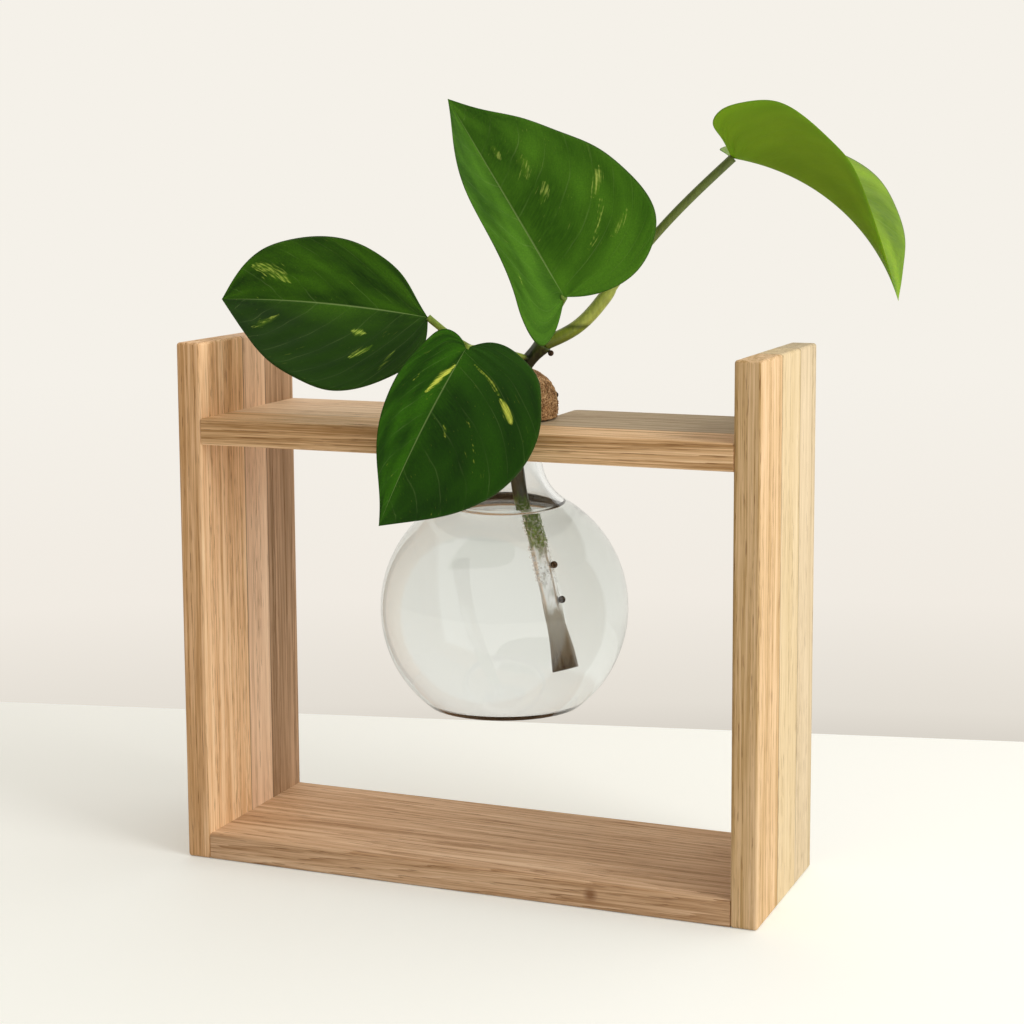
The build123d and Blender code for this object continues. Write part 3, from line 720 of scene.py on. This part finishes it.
def skin(name, tones, low, high, roughness, wobble, film=None, dark_at=None):
    """Plant skin: its colour follows the height, with fine streaks and a small relief. A film of air, given by
    its lowest and highest share of the height, shines like silver, because water reflects all light from it; it is
    metallic there, and its white is partly painted sheen. Pale dots on the wet part are painted glints of air beads.
    Round the point dark_at the skin is dark."""
    made, tree = material(name)
    place = own_place(tree)
    height = add(tree, "SeparateXYZ", sockets={0: place}).outputs["Z"]
    stretched = add(tree, "Mapping", sockets={"Vector": place, "Scale": STREAK_COUNTS}).outputs[0]
    grain = noise(tree, stretched, 1.0, 3.0)
    share = spread(tree, height, low, high)
    mixed = weighted(tree, grain, 2 * wobble, share)
    layers = [(spread(tree, grain, *STREAK_RANGE), STREAK_TONE)]
    if dark_at is not None:
        away = compared(tree, "DISTANCE", place, tuple(dark_at))
        layers.append((spread(tree, away, DARK_CORE, DARK_EDGE, 1.0, 0.0), DARK_TONE))
    sockets = {"Roughness": roughness, "Normal": relief(tree, grain, 0.5, SKIN_RELIEF)}
    if film:
        over_foot = spread(tree, mixed, film[0] - FILM_FADE, film[0])
        below_top = spread(tree, mixed, film[1], film[1] + FILM_FADE, 1.0, 0.0)
        wet = spread(tree, share, WET_SHARE - FILM_FADE, WET_SHARE, 1.0, 0.0)
        beads = spread(tree, noise(tree, place, 1 / BEAD_SIZE, 1.0), *BEAD_RANGE)
        painted_bead_glints = maths(tree, "MULTIPLY", beads, maths(tree, "MULTIPLY", over_foot, wet))
        patches = spread(tree, grain, *FILM_RANGE)
        silver = maths(tree, "MULTIPLY", maths(tree, "MULTIPLY", over_foot, below_top), patches)
        # painted glints of air beads, and the silver film, whose white is partly painted sheen
        layers += [(painted_bead_glints, BEAD_GLINT_TONE), (silver, SILVER_TONE)]
        sockets["Metallic"] = silver
    return shade(made, {"Base Color": layered(tree, ramp(tree, mixed, tones), layers), **sockets})


stem_skin = skin(
    "old plant stem", STEM_TONES_WITH_SHEEN, stem_points[0][2], stem_points[-1][2], STEM_ROUGHNESS, STEM_WOBBLE, STEM_FILM,
)

# %% [markdown]
# ## The main stem
# A tube follows the stem's line. It swells at the top node, flares towards the cut foot, and the foot is split
# on one side. All of that is one table of radii: one row per step along the stem, one column per side.

# %% Grow the stem
FOOT_RADIUS = 3.9 * MM
FOOT_HEIGHT = 14.0 * MM
NODE_RADIUS = 3.3 * MM
STEM_STEPS = 220
STEM_SIDES = 32
RIB_DEPTHS = (0.054, 0.03)
RIB_TWIST = 400.0
SPLIT_DEPTH = 0.55
SPLIT_WIDTH = 0.35
SPLIT_POWER = 0.7
stem_line = smooth_line(stem_points, STEM_STEPS)
run = np.concatenate([[0.0], np.cumsum(np.linalg.norm(np.diff(stem_line, axis=0), axis=1))])
flare = np.clip(1 - run / FOOT_HEIGHT, 0, 1)
swell = np.exp(-(((run[-1] - run) / NODE_RADIUS) ** 2))
around = np.linspace(0, 2 * np.pi, STEM_SIDES, endpoint=False)
stem_radii = STEM_RADIUS + (FOOT_RADIUS - STEM_RADIUS) * flare + (NODE_RADIUS - STEM_RADIUS) * swell
ribs = RIB_DEPTHS[0] * np.sin(5 * around)[None, :]
ribs = ribs + RIB_DEPTHS[1] * np.sin(3 * around[None, :] + run[:, None] * RIB_TWIST)
split = SPLIT_DEPTH * np.exp(-(((around - np.pi / 2) / SPLIT_WIDTH) ** 2))[None, :] * flare[:, None] ** SPLIT_POWER
stem_radii = stem_radii[:, None] * (1 + ribs - split)
surface("stem", tube(stem_line, stem_radii, STEM_SIDES), stem_skin, "cutting", ["main_stem"])

GRIT_SIZE = MM / 1.4
nub_bark, tree = material("root bark")
grit = noise(tree, own_place(tree), 1 / GRIT_SIZE, 2.0)
shade(nub_bark, {"Base Color": ramp(tree, grit, ((0.35, "1B120C"), (0.65, "4A3322"))), "Roughness": 0.8})
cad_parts["root_nubs"].material_slots[0].material = nub_bark

# %% [markdown]
# ## Air bubbles on the stem
# A cutting in fresh tap water is covered in tiny bubbles. Each is a small ball on the stem's skin, and all of
# them are one mesh, made from one ball and arrays of places and sizes. Seen from the water, air bends light the
# other way, so its index is one over the water's.

# %% Set the bubbles
BUBBLE_COUNT = 420
BUBBLE_LOW = 26.0 * MM
BUBBLE_HIGH = 55.0 * MM
BUBBLE_SMALL = 0.16 * MM
BUBBLE_LARGE = 0.42 * MM
BUBBLE_SEAT = 0.9
random = np.random.default_rng(7)
step = np.searchsorted(run, random.uniform(BUBBLE_LOW, BUBBLE_HIGH, BUBBLE_COUNT))
column = random.integers(0, STEM_SIDES, BUBBLE_COUNT)
bubble_radius = random.uniform(BUBBLE_SMALL, BUBBLE_LARGE, BUBBLE_COUNT)
stem_rings = tube(stem_line, stem_radii, STEM_SIDES)[1:-1]
on_skin = stem_rings[step, column]
outward = on_skin - stem_line[step]
outward /= np.linalg.norm(outward, axis=1)[:, None]
bubble_centres = on_skin + outward * bubble_radius[:, None] * BUBBLE_SEAT
ball = bmesh.new()
bmesh.ops.create_icosphere(ball, subdivisions=2, radius=1.0)
ball_points = np.array([v.co for v in ball.verts])
ball_faces = np.array([[v.index for v in f.verts] for f in ball.faces])
ball.free()
bubble_points = bubble_centres[:, None] + ball_points[None] * bubble_radius[:, None, None]
bubble_faces = ball_faces[None] + (np.arange(BUBBLE_COUNT) * len(ball_points))[:, None, None]
bubble_mesh = bpy.data.meshes.new("bubbles")
bubble_mesh.from_pydata(bubble_points.reshape(-1, 3).tolist(), [], bubble_faces.reshape(-1, 3).tolist())
air = clear("air in water", "FFFFFF", 1 / WATER_INDEX)
piece("bubbles", bubble_mesh, air, "cutting")

# %% [markdown]
# ## Leaf stalks
# The short stalks are slim arcs. The long one starts as a thick pale sheath, which ends in a ring, and goes on
# as a thin stalk to the bright leaf.

# %% Grow the stalks
STALK_STEPS = 60
STALK_SIDES = 20
STALKS = {
    "left": (side_shoot, -5.0 * MM, 1.0 * MM, 1.3 * MM),
    "front": (side_shoot, 1.0 * MM, 1.0 * MM, 1.2 * MM),
    "top": (stem_node, 2.0 * MM, 1.7 * MM, 1.3 * MM),
}
SHEATH_OFFSET = np.array((22.0, 9.5, 19.0)) * MM
SHEATH_BOW = -3.5 * MM
SHEATH_RADIUS = 2.6 * MM
LONG_STALK_RADIUS = 1.65 * MM
RING_BULGE = 0.25 * MM
RING_SHARPNESS = 0.008
STALK_ROUGHNESS = 0.42
STALK_WOBBLE = 0.05
RING_WOBBLE = 0.006
LIFT = np.array((0.0, 0.0, 1.0))
stalk_skin = skin(
    "green leaf stalk", ((0.0, "8FA63C"), (1.0, "6F8F33")), stem_node[2], leaf_bases["top"][2], STALK_ROUGHNESS,
    STALK_WOBBLE, dark_at=side_shoot,
)
long_stalk_skin = skin(
    "long leaf stalk", ((0.0, "5F6E1E"), (0.075, "8C9E34"), (0.095, "5A6822"), (0.115, "B4C25A"), (0.30, "AEBB58"),
                        (0.38, "6F8034"), (1.0, "5C6E2A")),
    stem_node[2], leaf_bases["right"][2], STALK_ROUGHNESS, RING_WOBBLE,
)
for name, (start, bow, thick, thin) in STALKS.items():
    middle = (start + leaf_bases[name]) / 2 + LIFT * bow
    line = smooth_line([start, middle, leaf_bases[name]], STALK_STEPS)
    radii = np.linspace(thick, thin, STALK_STEPS)
    surface(f"{name}_stalk", tube(line, radii, STALK_SIDES), stalk_skin, "cutting", [f"{name}_petiole"])

ring = stem_node + SHEATH_OFFSET
lower = smooth_line([stem_node, (stem_node + ring) / 2 + LIFT * SHEATH_BOW, ring], STALK_STEPS)
onward = lower[-1] - lower[-2]
onward /= np.linalg.norm(onward)
chord = leaf_bases["right"] - ring
chord_length = np.linalg.norm(chord)
chord_way = chord / chord_length
sideways = onward - chord_way * np.dot(onward, chord_way)
lean = math.acos(np.clip(np.dot(onward, chord_way), -1, 1))
sagitta = chord_length / 2 * math.tan(lean / 2)
crest = ring + chord / 2 + sideways / np.linalg.norm(sideways) * sagitta
upper = smooth_line([ring, crest, leaf_bases["right"]], STALK_STEPS)
long_line = np.concatenate([lower, upper[1:]])
along = np.linspace(0, 1, len(long_line))
ring_share = STALK_STEPS / len(long_line)
from_ring = (along - ring_share) / RING_SHARPNESS
thinning = 1 / (1 + np.exp(-from_ring))
long_radii = SHEATH_RADIUS + (LONG_STALK_RADIUS - SHEATH_RADIUS) * thinning + RING_BULGE * np.exp(-(from_ring**2))
surface(
    "right_stalk", tube(long_line, long_radii, STALK_SIDES), long_stalk_skin, "cutting",
    ["right_petiole"],
)

# %% [markdown]
# ## Leaf skin
# The leaves are waxy, dark green on top and paler below, with a fine pale midrib and faint side veins that sweep
# to the tip. The pattern follows the leaf's own coordinates: U counts the side veins from the notch to the tip,
# so a line of equal U is a vein, and V goes from the midrib (0) to either edge (1 or minus 1). Yellow-green
# flecks lie along the veins. Where they lie is a mark on the mesh, and noise stretched along the veins frays it.
# Each fleck has a soft green halo. A pattern has its grains across and along, its detail and its shift, and a
# range says from which values of the pattern to which shares of a tone it is stretched.

# %% Make a leaf material
VEIN_COUNT = 7
VEIN_TONE = "8CA866"
VEIN_EDGE = 0.035
VEIN_DRIFT = 0.06
HALO_TONE = "6F9A22"
RIM_TONE = "2A3A10"
CELL_SIZE = 0.6 * MM
LEAF_RELIEF = 0.12 * MM
GLOW_DEPTH = 1.2 * MM
FLECK_FRAY = 2.3
HALO_FRAY = 1.1
UNDER_SHARE = 0.7
HALF_SHIFT = 7.3
SLOW_TONES = (3.0, 2.0, 2.0, 0.0)
FINE_LINES = (110.0, 9.0, 3.0, 4.0)
VEIN_GAPS = (5.0, 3.0, 2.0, 21.0)
FRAYED_ENDS = (90.0, 7.0, 4.0, 13.0)
SMALL_DOTS = (120.0, 40.0, 2.0, 33.0)
HALO_GRAINS = (34.0, 5.0, 3.0, 17.0)
LINE_RANGE = (0.35, 0.7, 0.0, 0.35)
CELL_RANGE = (0.35, 0.65, 0.30, 0.0)
GAP_RANGE = (0.42, 0.66, 0.02, 0.22)
MIDRIB_RANGE = (0.004, 0.014, 0.55, 0.0)
DOT_RANGE = (0.72, 0.80, 0.0, 0.3)
FLECK_RANGE = (0.42, 1.0, 0.0, 0.95)
HALO_RANGE = (0.25, 0.9, 0.0, 0.5)
RIM_RANGE = (0.975, 1.0, 0.0, 0.6)


def leaf_skin(name, deep, fresh, below, fleck_tone, glow, painted_shade_half, seed):
    """Waxy leaf: tone from slow noise, veins from U and V, flecks where the mesh's mark plus noise is high.
    One half of the blade is darker by a share of painted shade, for the half that gets less light."""
    made, tree = material(name)
    own = add(tree, "UVMap", {"uv_map": "surface"}).outputs[0]
    parts = add(tree, "SeparateXYZ", sockets={0: own})
    u, v = parts.outputs["X"], parts.outputs["Y"]
    edge = maths(tree, "ABSOLUTE", v)
    lane = maths(tree, "MULTIPLY_ADD", maths(tree, "SIGN", v), HALF_SHIFT, u)

    def vein_noise(across, along_vein, detail, shift):
        """Noise with so many grains across the veins and along them."""
        place = add(tree, "CombineXYZ", sockets={0: lane, 1: edge, 2: seed + shift}).outputs[0]
        scaled = add(tree, "Mapping", sockets={"Vector": place, "Scale": (across, along_vein, 1.0)}).outputs[0]
        return noise(tree, scaled, 1.0, detail)

    slow = vein_noise(*SLOW_TONES)
    fine = vein_noise(*FINE_LINES)
    cells = noise(tree, own_place(tree), 1 / CELL_SIZE, 2.0)
    tone = mix(tree, spread(tree, slow, 0.35, 0.65), paint(deep), paint(fresh))
    waves = maths(tree, "MULTIPLY", maths(tree, "MULTIPLY_ADD", slow, VEIN_DRIFT, u), float(VEIN_COUNT))
    off = maths(tree, "SUBTRACT", maths(tree, "FRACT", waves), 0.5)
    vein = spread(tree, maths(tree, "ABSOLUTE", off), 0.0, VEIN_EDGE, 1.0, 0.0)
    gaps = spread(tree, vein_noise(*VEIN_GAPS), *GAP_RANGE)
    mark = add(tree, "Attribute", {"attribute_name": "fleck"}).outputs["Fac"]
    frayed = weighted(tree, vein_noise(*FRAYED_ENDS), FLECK_FRAY, mark)
    dots = spread(tree, vein_noise(*SMALL_DOTS), *DOT_RANGE)
    amount = maths(tree, "MAXIMUM", spread(tree, frayed, *FLECK_RANGE), dots)
    halo = weighted(tree, vein_noise(*HALO_GRAINS), HALO_FRAY, mark)
    under = add(tree, "Attribute", {"attribute_name": "under"}).outputs["Fac"]
    tone = layered(tree, tone, [
        (spread(tree, fine, *LINE_RANGE), fresh),
        (spread(tree, cells, *CELL_RANGE), deep),
        # painted shade on one half of the blade
        (spread(tree, v, 0.0, 0.3, 0.0, painted_shade_half), deep),
        (maths(tree, "MULTIPLY", vein, gaps), VEIN_TONE),
        (spread(tree, edge, *MIDRIB_RANGE), VEIN_TONE),
        (spread(tree, halo, *HALO_RANGE), HALO_TONE),
        (amount, fleck_tone),
        (spread(tree, edge, *RIM_RANGE), RIM_TONE),
        (spread(tree, under, 0.0, 1.0, 0.0, UNDER_SHARE), below),
    ])
    grooves = maths(tree, "MULTIPLY_ADD", vein, -0.6, fine)
    return shade(made, {
        "Base Color": tone, "Roughness": 0.42, "Specular IOR Level": 0.2,
        "Normal": relief(tree, grooves, 0.35, LEAF_RELIEF), "Subsurface Weight": glow,
        "Subsurface Radius": (0.5, 1.0, 0.1), "Subsurface Scale": GLOW_DEPTH,
    })


# %% [markdown]
# ## Leaf blades
# A blade is flat in its own frame, with an outline on each side of the midrib. Lines drawn from the midrib to
# the outline make the grid. The sheet is then arched from notch to tip, folded up on both sides of the midrib,
# puffed a little between the veins, and sunk along the midrib. A second skin under it gives it thickness.

# %% Blade formula
BLADE_THICKNESS = 0.55 * MM
BLADE_STEPS = 220
HALF_STEPS = 40
MIDRIB_SOFTNESS = 1.3 * MM
MIDRIB_SINK = 0.22 * MM
MIDRIB_WIDTH = 0.55 * MM
PUFF = 0.12 * MM
EDGE_WAVE = 0.8 * MM
FLECK_SQUEEZE = 0.4
FLECK_TAPER = 0.75
NOTCH_CROWDING = 0.9
RIB_CROWDING = 1.35
MIDRIB_CROWDING = 1.4
VEIN_SWEEP = 0.5
WAVE_COUNT = 1.6
WAVE_TWIST = 1.5
EDGE_THINNING = 0.6


def blade(base, lie_deg, length, bend_deg, folds_deg, plus, minus, phase, flecks):
    """Closed skin of a leaf. Height over its plane is an arch (circle), plus a fold (slope times distance from
    the midrib), puffs (cosine between veins) and a wave that grows towards the edge, less a groove (bell)."""
    heading, climb, roll = np.radians(lie_deg)
    chord = np.array((np.cos(climb) * np.cos(heading), np.cos(climb) * np.sin(heading), np.sin(climb)))
    level = np.array((-np.sin(heading), np.cos(heading), 0.0))
    facing = np.cross(chord, level) * np.cos(roll) + level * np.sin(roll)
    side_way = np.cross(facing, chord)
    along = np.linspace(0, 1, BLADE_STEPS) ** NOTCH_CROWDING
    rib = np.stack([along**RIB_CROWDING, np.zeros(BLADE_STEPS)], -1)
    width = np.linspace(0, 1, HALF_STEPS) ** MIDRIB_CROWDING
    halves = []
    for sign, outline in ((-1, minus), (1, plus)):
        shares = np.reshape(outline, (-1, 2)) / 100
        points = [(0.0, 0.0)] + [(x, sign * y) for x, y in shares] + [(1.0, 0.0)]
        edge = smooth_line(points, BLADE_STEPS * 4)
        edge = np.stack([np.interp(along, np.linspace(0, 1, len(edge)), edge[:, k]) for k in (0, 1)], -1)
        halves.append(rib[:, None] * (1 - width)[None, :, None] + edge[:, None] * width[None, :, None])
    plane = np.concatenate([halves[0][:, ::-1], halves[1][:, 1:]], 1) * length
    reach = np.concatenate([-width[::-1], width[1:]])[None]
    x, y = plane[..., 0], plane[..., 1]
    vein = (along[:, None] - VEIN_SWEEP * np.abs(reach)) / (1 - VEIN_SWEEP * np.abs(reach))
    half_turn = math.radians(bend_deg / 2)
    arch_radius = length / 2 / math.sin(half_turn)
    arch = np.sqrt(np.maximum(arch_radius**2 - (x - length / 2) ** 2, 0)) - arch_radius * math.cos(half_turn)
    slope = np.where(y > 0, math.tan(math.radians(folds_deg[0])), math.tan(math.radians(folds_deg[1])))
    fold = slope * (np.sqrt(y**2 + MIDRIB_SOFTNESS**2) - MIDRIB_SOFTNESS)
    between = np.cos(2 * np.pi * VEIN_COUNT * vein) * np.sin(np.pi * np.abs(reach))
    wave = np.sin(2 * np.pi * (WAVE_COUNT * along[:, None] + phase) + reach * WAVE_TWIST) * reach**2
    ends = np.sin(np.pi * along)[:, None] ** 0.5
    sink = MIDRIB_SINK * np.exp(-((y / MIDRIB_WIDTH) ** 2))
    height = arch + fold + (PUFF * between + EDGE_WAVE * wave - sink) * ends
    top = base + x[..., None] * chord + y[..., None] * side_way + height[..., None] * facing
    thickness = BLADE_THICKNESS * (1 - EDGE_THINNING * reach**6) * ends
    under = top - thickness[..., None] * facing
    grid = np.concatenate([top, under[:, ::-1]], 1)
    v = np.repeat(np.concatenate([reach, reach[:, ::-1]], 1), BLADE_STEPS, 0)
    u = np.concatenate([vein, vein[:, ::-1]], 1)
    mark = np.zeros_like(vein)
    for u0, v0, u1, v1, half_width, strength in np.array(flecks) / 1000:
        start, step = np.array((u0, v0 * FLECK_SQUEEZE)), np.array((u1 - u0, (v1 - v0) * FLECK_SQUEEZE))
        place = np.stack([np.repeat(along[:, None], reach.size, 1), v[:, :reach.size] * FLECK_SQUEEZE], -1)
        share = np.clip((place - start) @ step / (step @ step), 0, 1)
        away = np.linalg.norm(place - start - share[..., None] * step, axis=-1)
        taper = half_width * (1 - FLECK_TAPER * np.abs(2 * share - 1) ** 2)
        mark = np.maximum(mark, strength * np.exp(-((away / taper) ** 2)))
    marks = {
        "fleck": np.concatenate([mark, np.zeros_like(mark)], 1),
        "under": np.concatenate([np.zeros_like(mark), np.ones_like(mark)], 1),
    }
    return grid, np.stack([u, v], -1), marks


# %% [markdown]
# ## The four leaves
# Each leaf has its own place, lie and outline. An outline is a row of points, along and across by turns, in
# hundredths of the length, with one row for each side of the midrib. The bright leaf on the right hangs over in
# a trough, so its pale underside shows. A fleck is a line in the leaf's coordinates, from (along, across) to
# (along, across), with half its width and its strength, all in thousandths.

# %% Grow the leaves
LEAVES = {
    "left": dict(
        lie=(-173, 4, 58), length=82, bend=24, folds=(9, 9), phase=0.1,
        plus=(-2, 15, 1, 25, 9, 34, 20, 42, 33, 46, 47, 43, 65, 34, 81, 20),
        minus=(5, 6, 14, 17, 26, 25, 42, 31, 59, 32, 73, 29, 84, 24, 94, 13),
        flecks=((823, -840, 705, -320, 40, 600), (736, 280, 811, 760, 24, 450),
                (428, 280, 368, 320, 18, 750), (334, 480, 408, 600, 16, 650),
                (236, 600, 300, 850, 12, 400), (584, 200, 620, 400, 5, 300)),
    ),
    "front": dict(
        lie=(-139, -62, 45), length=71, bend=22, folds=(8, 12), phase=0.45,
        plus=(-7, 9, -9, 19, -6, 34, 0, 47, 11, 56, 22, 62, 36, 64, 54, 59, 69, 48, 82, 32, 93, 13),
        minus=(-4, 6, -4, 15, 5, 20, 20, 24, 36, 24, 52, 21, 66, 16, 78, 10, 90, 4),
        flecks=((190, -20, 401, -280, 25, 1000), (313, -560, 388, -640, 6, 500),
                (380, -130, 434, -200, 6, 400), (193, 280, 354, 600, 7, 700),
                (354, 600, 428, 740, 17, 1000), (507, 160, 552, 240, 10, 600),
                (428, 280, 520, 480, 4, 350), (520, 480, 623, 680, 4, 350)),
    ),
    "top": dict(
        lie=(157, 50, 52), length=95, bend=20, folds=(34, 8), phase=0.8,
        plus=(-8, 6, -14, 12, -16, 16, -4, 18, 6, 16, 19, 14, 36, 13, 55, 12, 74, 8, 90, 3),
        minus=(-3, 5, -7, 16, -7, 29, -2, 39, 7, 46, 17, 47, 28, 45, 43, 40, 58, 31, 73, 21, 87, 9),
        flecks=((767, -240, 705, -200, 30, 420), (673, -440, 591, -280, 32, 480),
                (552, -400, 487, -240, 24, 420), (510, -860, 428, -620, 13, 650),
                (428, -680, 265, -400, 8, 500), (368, -800, 300, -620, 10, 550),
                (388, 720, 300, 680, 6, 600)),
    ),
    "right": dict(
        lie=(-4, -39, 22), length=81, bend=66, folds=(37, 37), phase=0.3,
        plus=(-8, 11, -13, 20, -10, 29, 0, 35, 15, 38, 30, 39, 46, 39, 64, 33, 78, 25, 88, 14, 95, 6),
        minus=(-8, 11, -13, 19, -12, 25, -6, 29, 4, 32, 17, 30, 35, 24, 44, 21, 61, 12, 78, 5),
        flecks=((306, -840, 400, -840, 20, 350), (381, -840, 420, -600, 10, 300)),
    ),
}
# The second to last number is the share of painted shade on one half of the blade.
LEAF_SKINS = {
    "left": leaf_skin("waxy leaf left", "173702", "3C6A05", "4F7A2C", "B9D25A", 0.04, 0.75, 2.0),
    "front": leaf_skin("waxy leaf front", "173C02", "356C06", "4F7A2C", "D8E45E", 0.04, 0.55, 5.0),
    "top": leaf_skin("waxy leaf top", "2A5404", "4E8218", "6B8C48", "B4CB62", 0.04, 0.0, 8.0),
    "right": leaf_skin("young leaf right", "54760A", "84A81E", "76961C", "C3D36A", 0.25, 0.0, 11.0),
}
blades = {}
for name, leaf in LEAVES.items():
    grid, uv, marks = blade(
        leaf_bases[name], leaf["lie"], leaf["length"] * MM, leaf["bend"], leaf["folds"], leaf["plus"],
        leaf["minus"], leaf["phase"], leaf["flecks"],
    )
    blades[name] = surface(
        f"{name}_blade", grid, LEAF_SKINS[name], "cutting", [f"{name}_leaf"], uv, marks,
    )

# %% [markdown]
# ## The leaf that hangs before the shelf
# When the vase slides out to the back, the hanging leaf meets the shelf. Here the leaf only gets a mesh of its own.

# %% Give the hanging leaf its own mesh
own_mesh(blades["front"])

# %% [markdown]
# ## The fibre plug
# A wad of matted plant fibre closes the mouth. Its body is a turned profile with lumps, and loose fibres lie
# over it: thin three-sided strands that follow the surface and curl away a little.

# %% Wad the plug
taper_low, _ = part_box("plug_taper")
plug_low, plug_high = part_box("plug_dome")
PLUG_SIDES = 120
PLUG_GAP = 0.3 * MM
SKIRT_DEPTH = 1.7 * MM
SKIRT_ROOM = 0.6 * MM
TAPER_RADIUS = 8.5 * MM
CROWN_RADIUS = 7.0 * MM
BULGE_SHARES = (0.88, 0.60)
DOME_STEPS = 60
FIRM_ROWS = 5
FIBRE_COUNT = 1300
FIBRE_POINTS = 7
FIBRE_FIRST_ROW = 8
FIBRE_SPARED_ROWS = 4
FIBRE_THICKNESS = 0.19 * MM
FIBRE_LENGTHS = (2.5, 7.0)
FIBRE_ROOM = 0.2 * MM
FIBRE_REST = 0.12 * MM
FIBRE_CURL = 0.5
FIBRE_TIGHTEST = 3 * MM
LUMP = 0.55 * MM
LUMP_WAVES = ((5, 0.21, 0.0), (11, -0.33, 1.7), (17, 0.9, 0.0))
TANGLE_SCALE = 900.0
LOOSE_SCALE = 260.0
COIR_RELIEF = 0.5 * MM
plug_radius = (plug_high.x - plug_low.x) / 2
seat = lip_top + PLUG_GAP
skirt_low = seat - SKIRT_DEPTH
skirt_inner = LIP_RADIUS + SKIRT_ROOM
plug_top = plug_high.z - LUMP
dome = smooth_line([
    (plug_radius - LUMP, skirt_low),
    (plug_radius * BULGE_SHARES[0], skirt_low + (plug_high.z - skirt_low) * BULGE_SHARES[1]),
    (CROWN_RADIUS, plug_top), (0.0, plug_top),
], DOME_STEPS)
plug_profile = np.concatenate([
    [(0.0, taper_low.z), (TAPER_RADIUS, taper_low.z), (bore_radius - SKIRT_ROOM, seat), (skirt_inner, seat),
     (skirt_inner, skirt_low)],
    dome,
])
plug_grid = turned(plug_profile, neck_axis, PLUG_SIDES)
turn_angle = np.linspace(0, 2 * np.pi, PLUG_SIDES, endpoint=False)[None, :]
level_at = np.arange(len(plug_profile))[:, None]
lumps = sum(np.sin(count * turn_angle + rise * level_at + start) for count, rise, start in LUMP_WAVES)
free = (np.arange(len(plug_profile)) > FIRM_ROWS) & (plug_profile[:, 0] > MM)
spokes = plug_grid - np.array((*neck_axis, 0))
spokes[..., 2] = 0
spokes /= np.maximum(np.linalg.norm(spokes, axis=2)[..., None], 1e-9)
plug_grid += spokes * (lumps / len(LUMP_WAVES) * LUMP * free[:, None])[..., None]

coir, tree = material("matted coconut fibre")
tangle = noise(tree, own_place(tree), TANGLE_SCALE, 5.0, 1.6)
shade(coir, {
    "Base Color": ramp(tree, tangle, ((0.34, "53371F"), (0.50, "9C764F"), (0.68, "CDA97E"))),
    "Roughness": 0.95, "Normal": relief(tree, tangle, 0.9, COIR_RELIEF),
})
surface("plug_wad", plug_grid, coir, "cutting", ["plug_dome", "plug_taper"])

strand_row = random.integers(FIBRE_FIRST_ROW, len(plug_profile) - FIBRE_SPARED_ROWS, FIBRE_COUNT)
strand_turn = random.uniform(0, 2 * np.pi, FIBRE_COUNT)
strand_reach = random.uniform(*FIBRE_LENGTHS, FIBRE_COUNT) * MM
strand_way = random.uniform(0, 2 * np.pi, FIBRE_COUNT)
share = np.linspace(-0.5, 0.5, FIBRE_POINTS)
radius_at = np.maximum(plug_profile[strand_row, 0], FIBRE_TIGHTEST)
turn = strand_turn[:, None] + share * (strand_reach * np.cos(strand_way) / radius_at)[:, None]
row_height = plug_profile[strand_row, 1][:, None] + share * (strand_reach * np.sin(strand_way))[:, None]
row_height = np.clip(row_height, skirt_low + FIBRE_ROOM, plug_high.z - FIBRE_ROOM)
order = np.argsort(dome[:, 1])
surface_r = np.interp(row_height, dome[order, 1], dome[order, 0])
lift_off = FIBRE_REST + random.uniform(0.0, FIBRE_CURL, FIBRE_COUNT)[:, None] * MM * (2 * share) ** 2
strand_r = np.minimum(surface_r + lift_off, plug_radius)
strand_line = np.stack([
    neck_axis[0] + strand_r * np.cos(turn), neck_axis[1] + strand_r * np.sin(turn), row_height,
], -1)
out_way = np.stack([np.cos(turn), np.sin(turn), np.zeros_like(turn)], -1)
corner = np.radians((90, 210, 330))
strand_rings = strand_line[:, :, None] + FIBRE_THICKNESS * (
    np.sin(corner)[:, None] * out_way[:, :, None] + np.cos(corner)[:, None] * LIFT
)
strand_index = np.arange(FIBRE_COUNT * FIBRE_POINTS * 3).reshape(FIBRE_COUNT, FIBRE_POINTS, 3)
next_corner = np.roll(strand_index, -1, 2)
strand_quads = np.stack(
    [strand_index[:, :-1], next_corner[:, :-1], next_corner[:, 1:], strand_index[:, 1:]], -1
).reshape(-1, 4)
strand_caps = np.concatenate([strand_index[:, 0, ::-1], strand_index[:, -1]])
strand_mesh = bpy.data.meshes.new("plug_fibres")
strand_mesh.from_pydata(strand_rings.reshape(-1, 3).tolist(), [], strand_quads.tolist() + strand_caps.tolist())
loose, tree = material("loose coconut fibre")
vary = noise(tree, own_place(tree), LOOSE_SCALE, 2.0)
shade(loose, {"Base Color": ramp(tree, vary, ((0.35, "7A5532"), (0.65, "D6B388"))), "Roughness": 0.8})
piece("plug_fibres", strand_mesh, loose, "cutting")
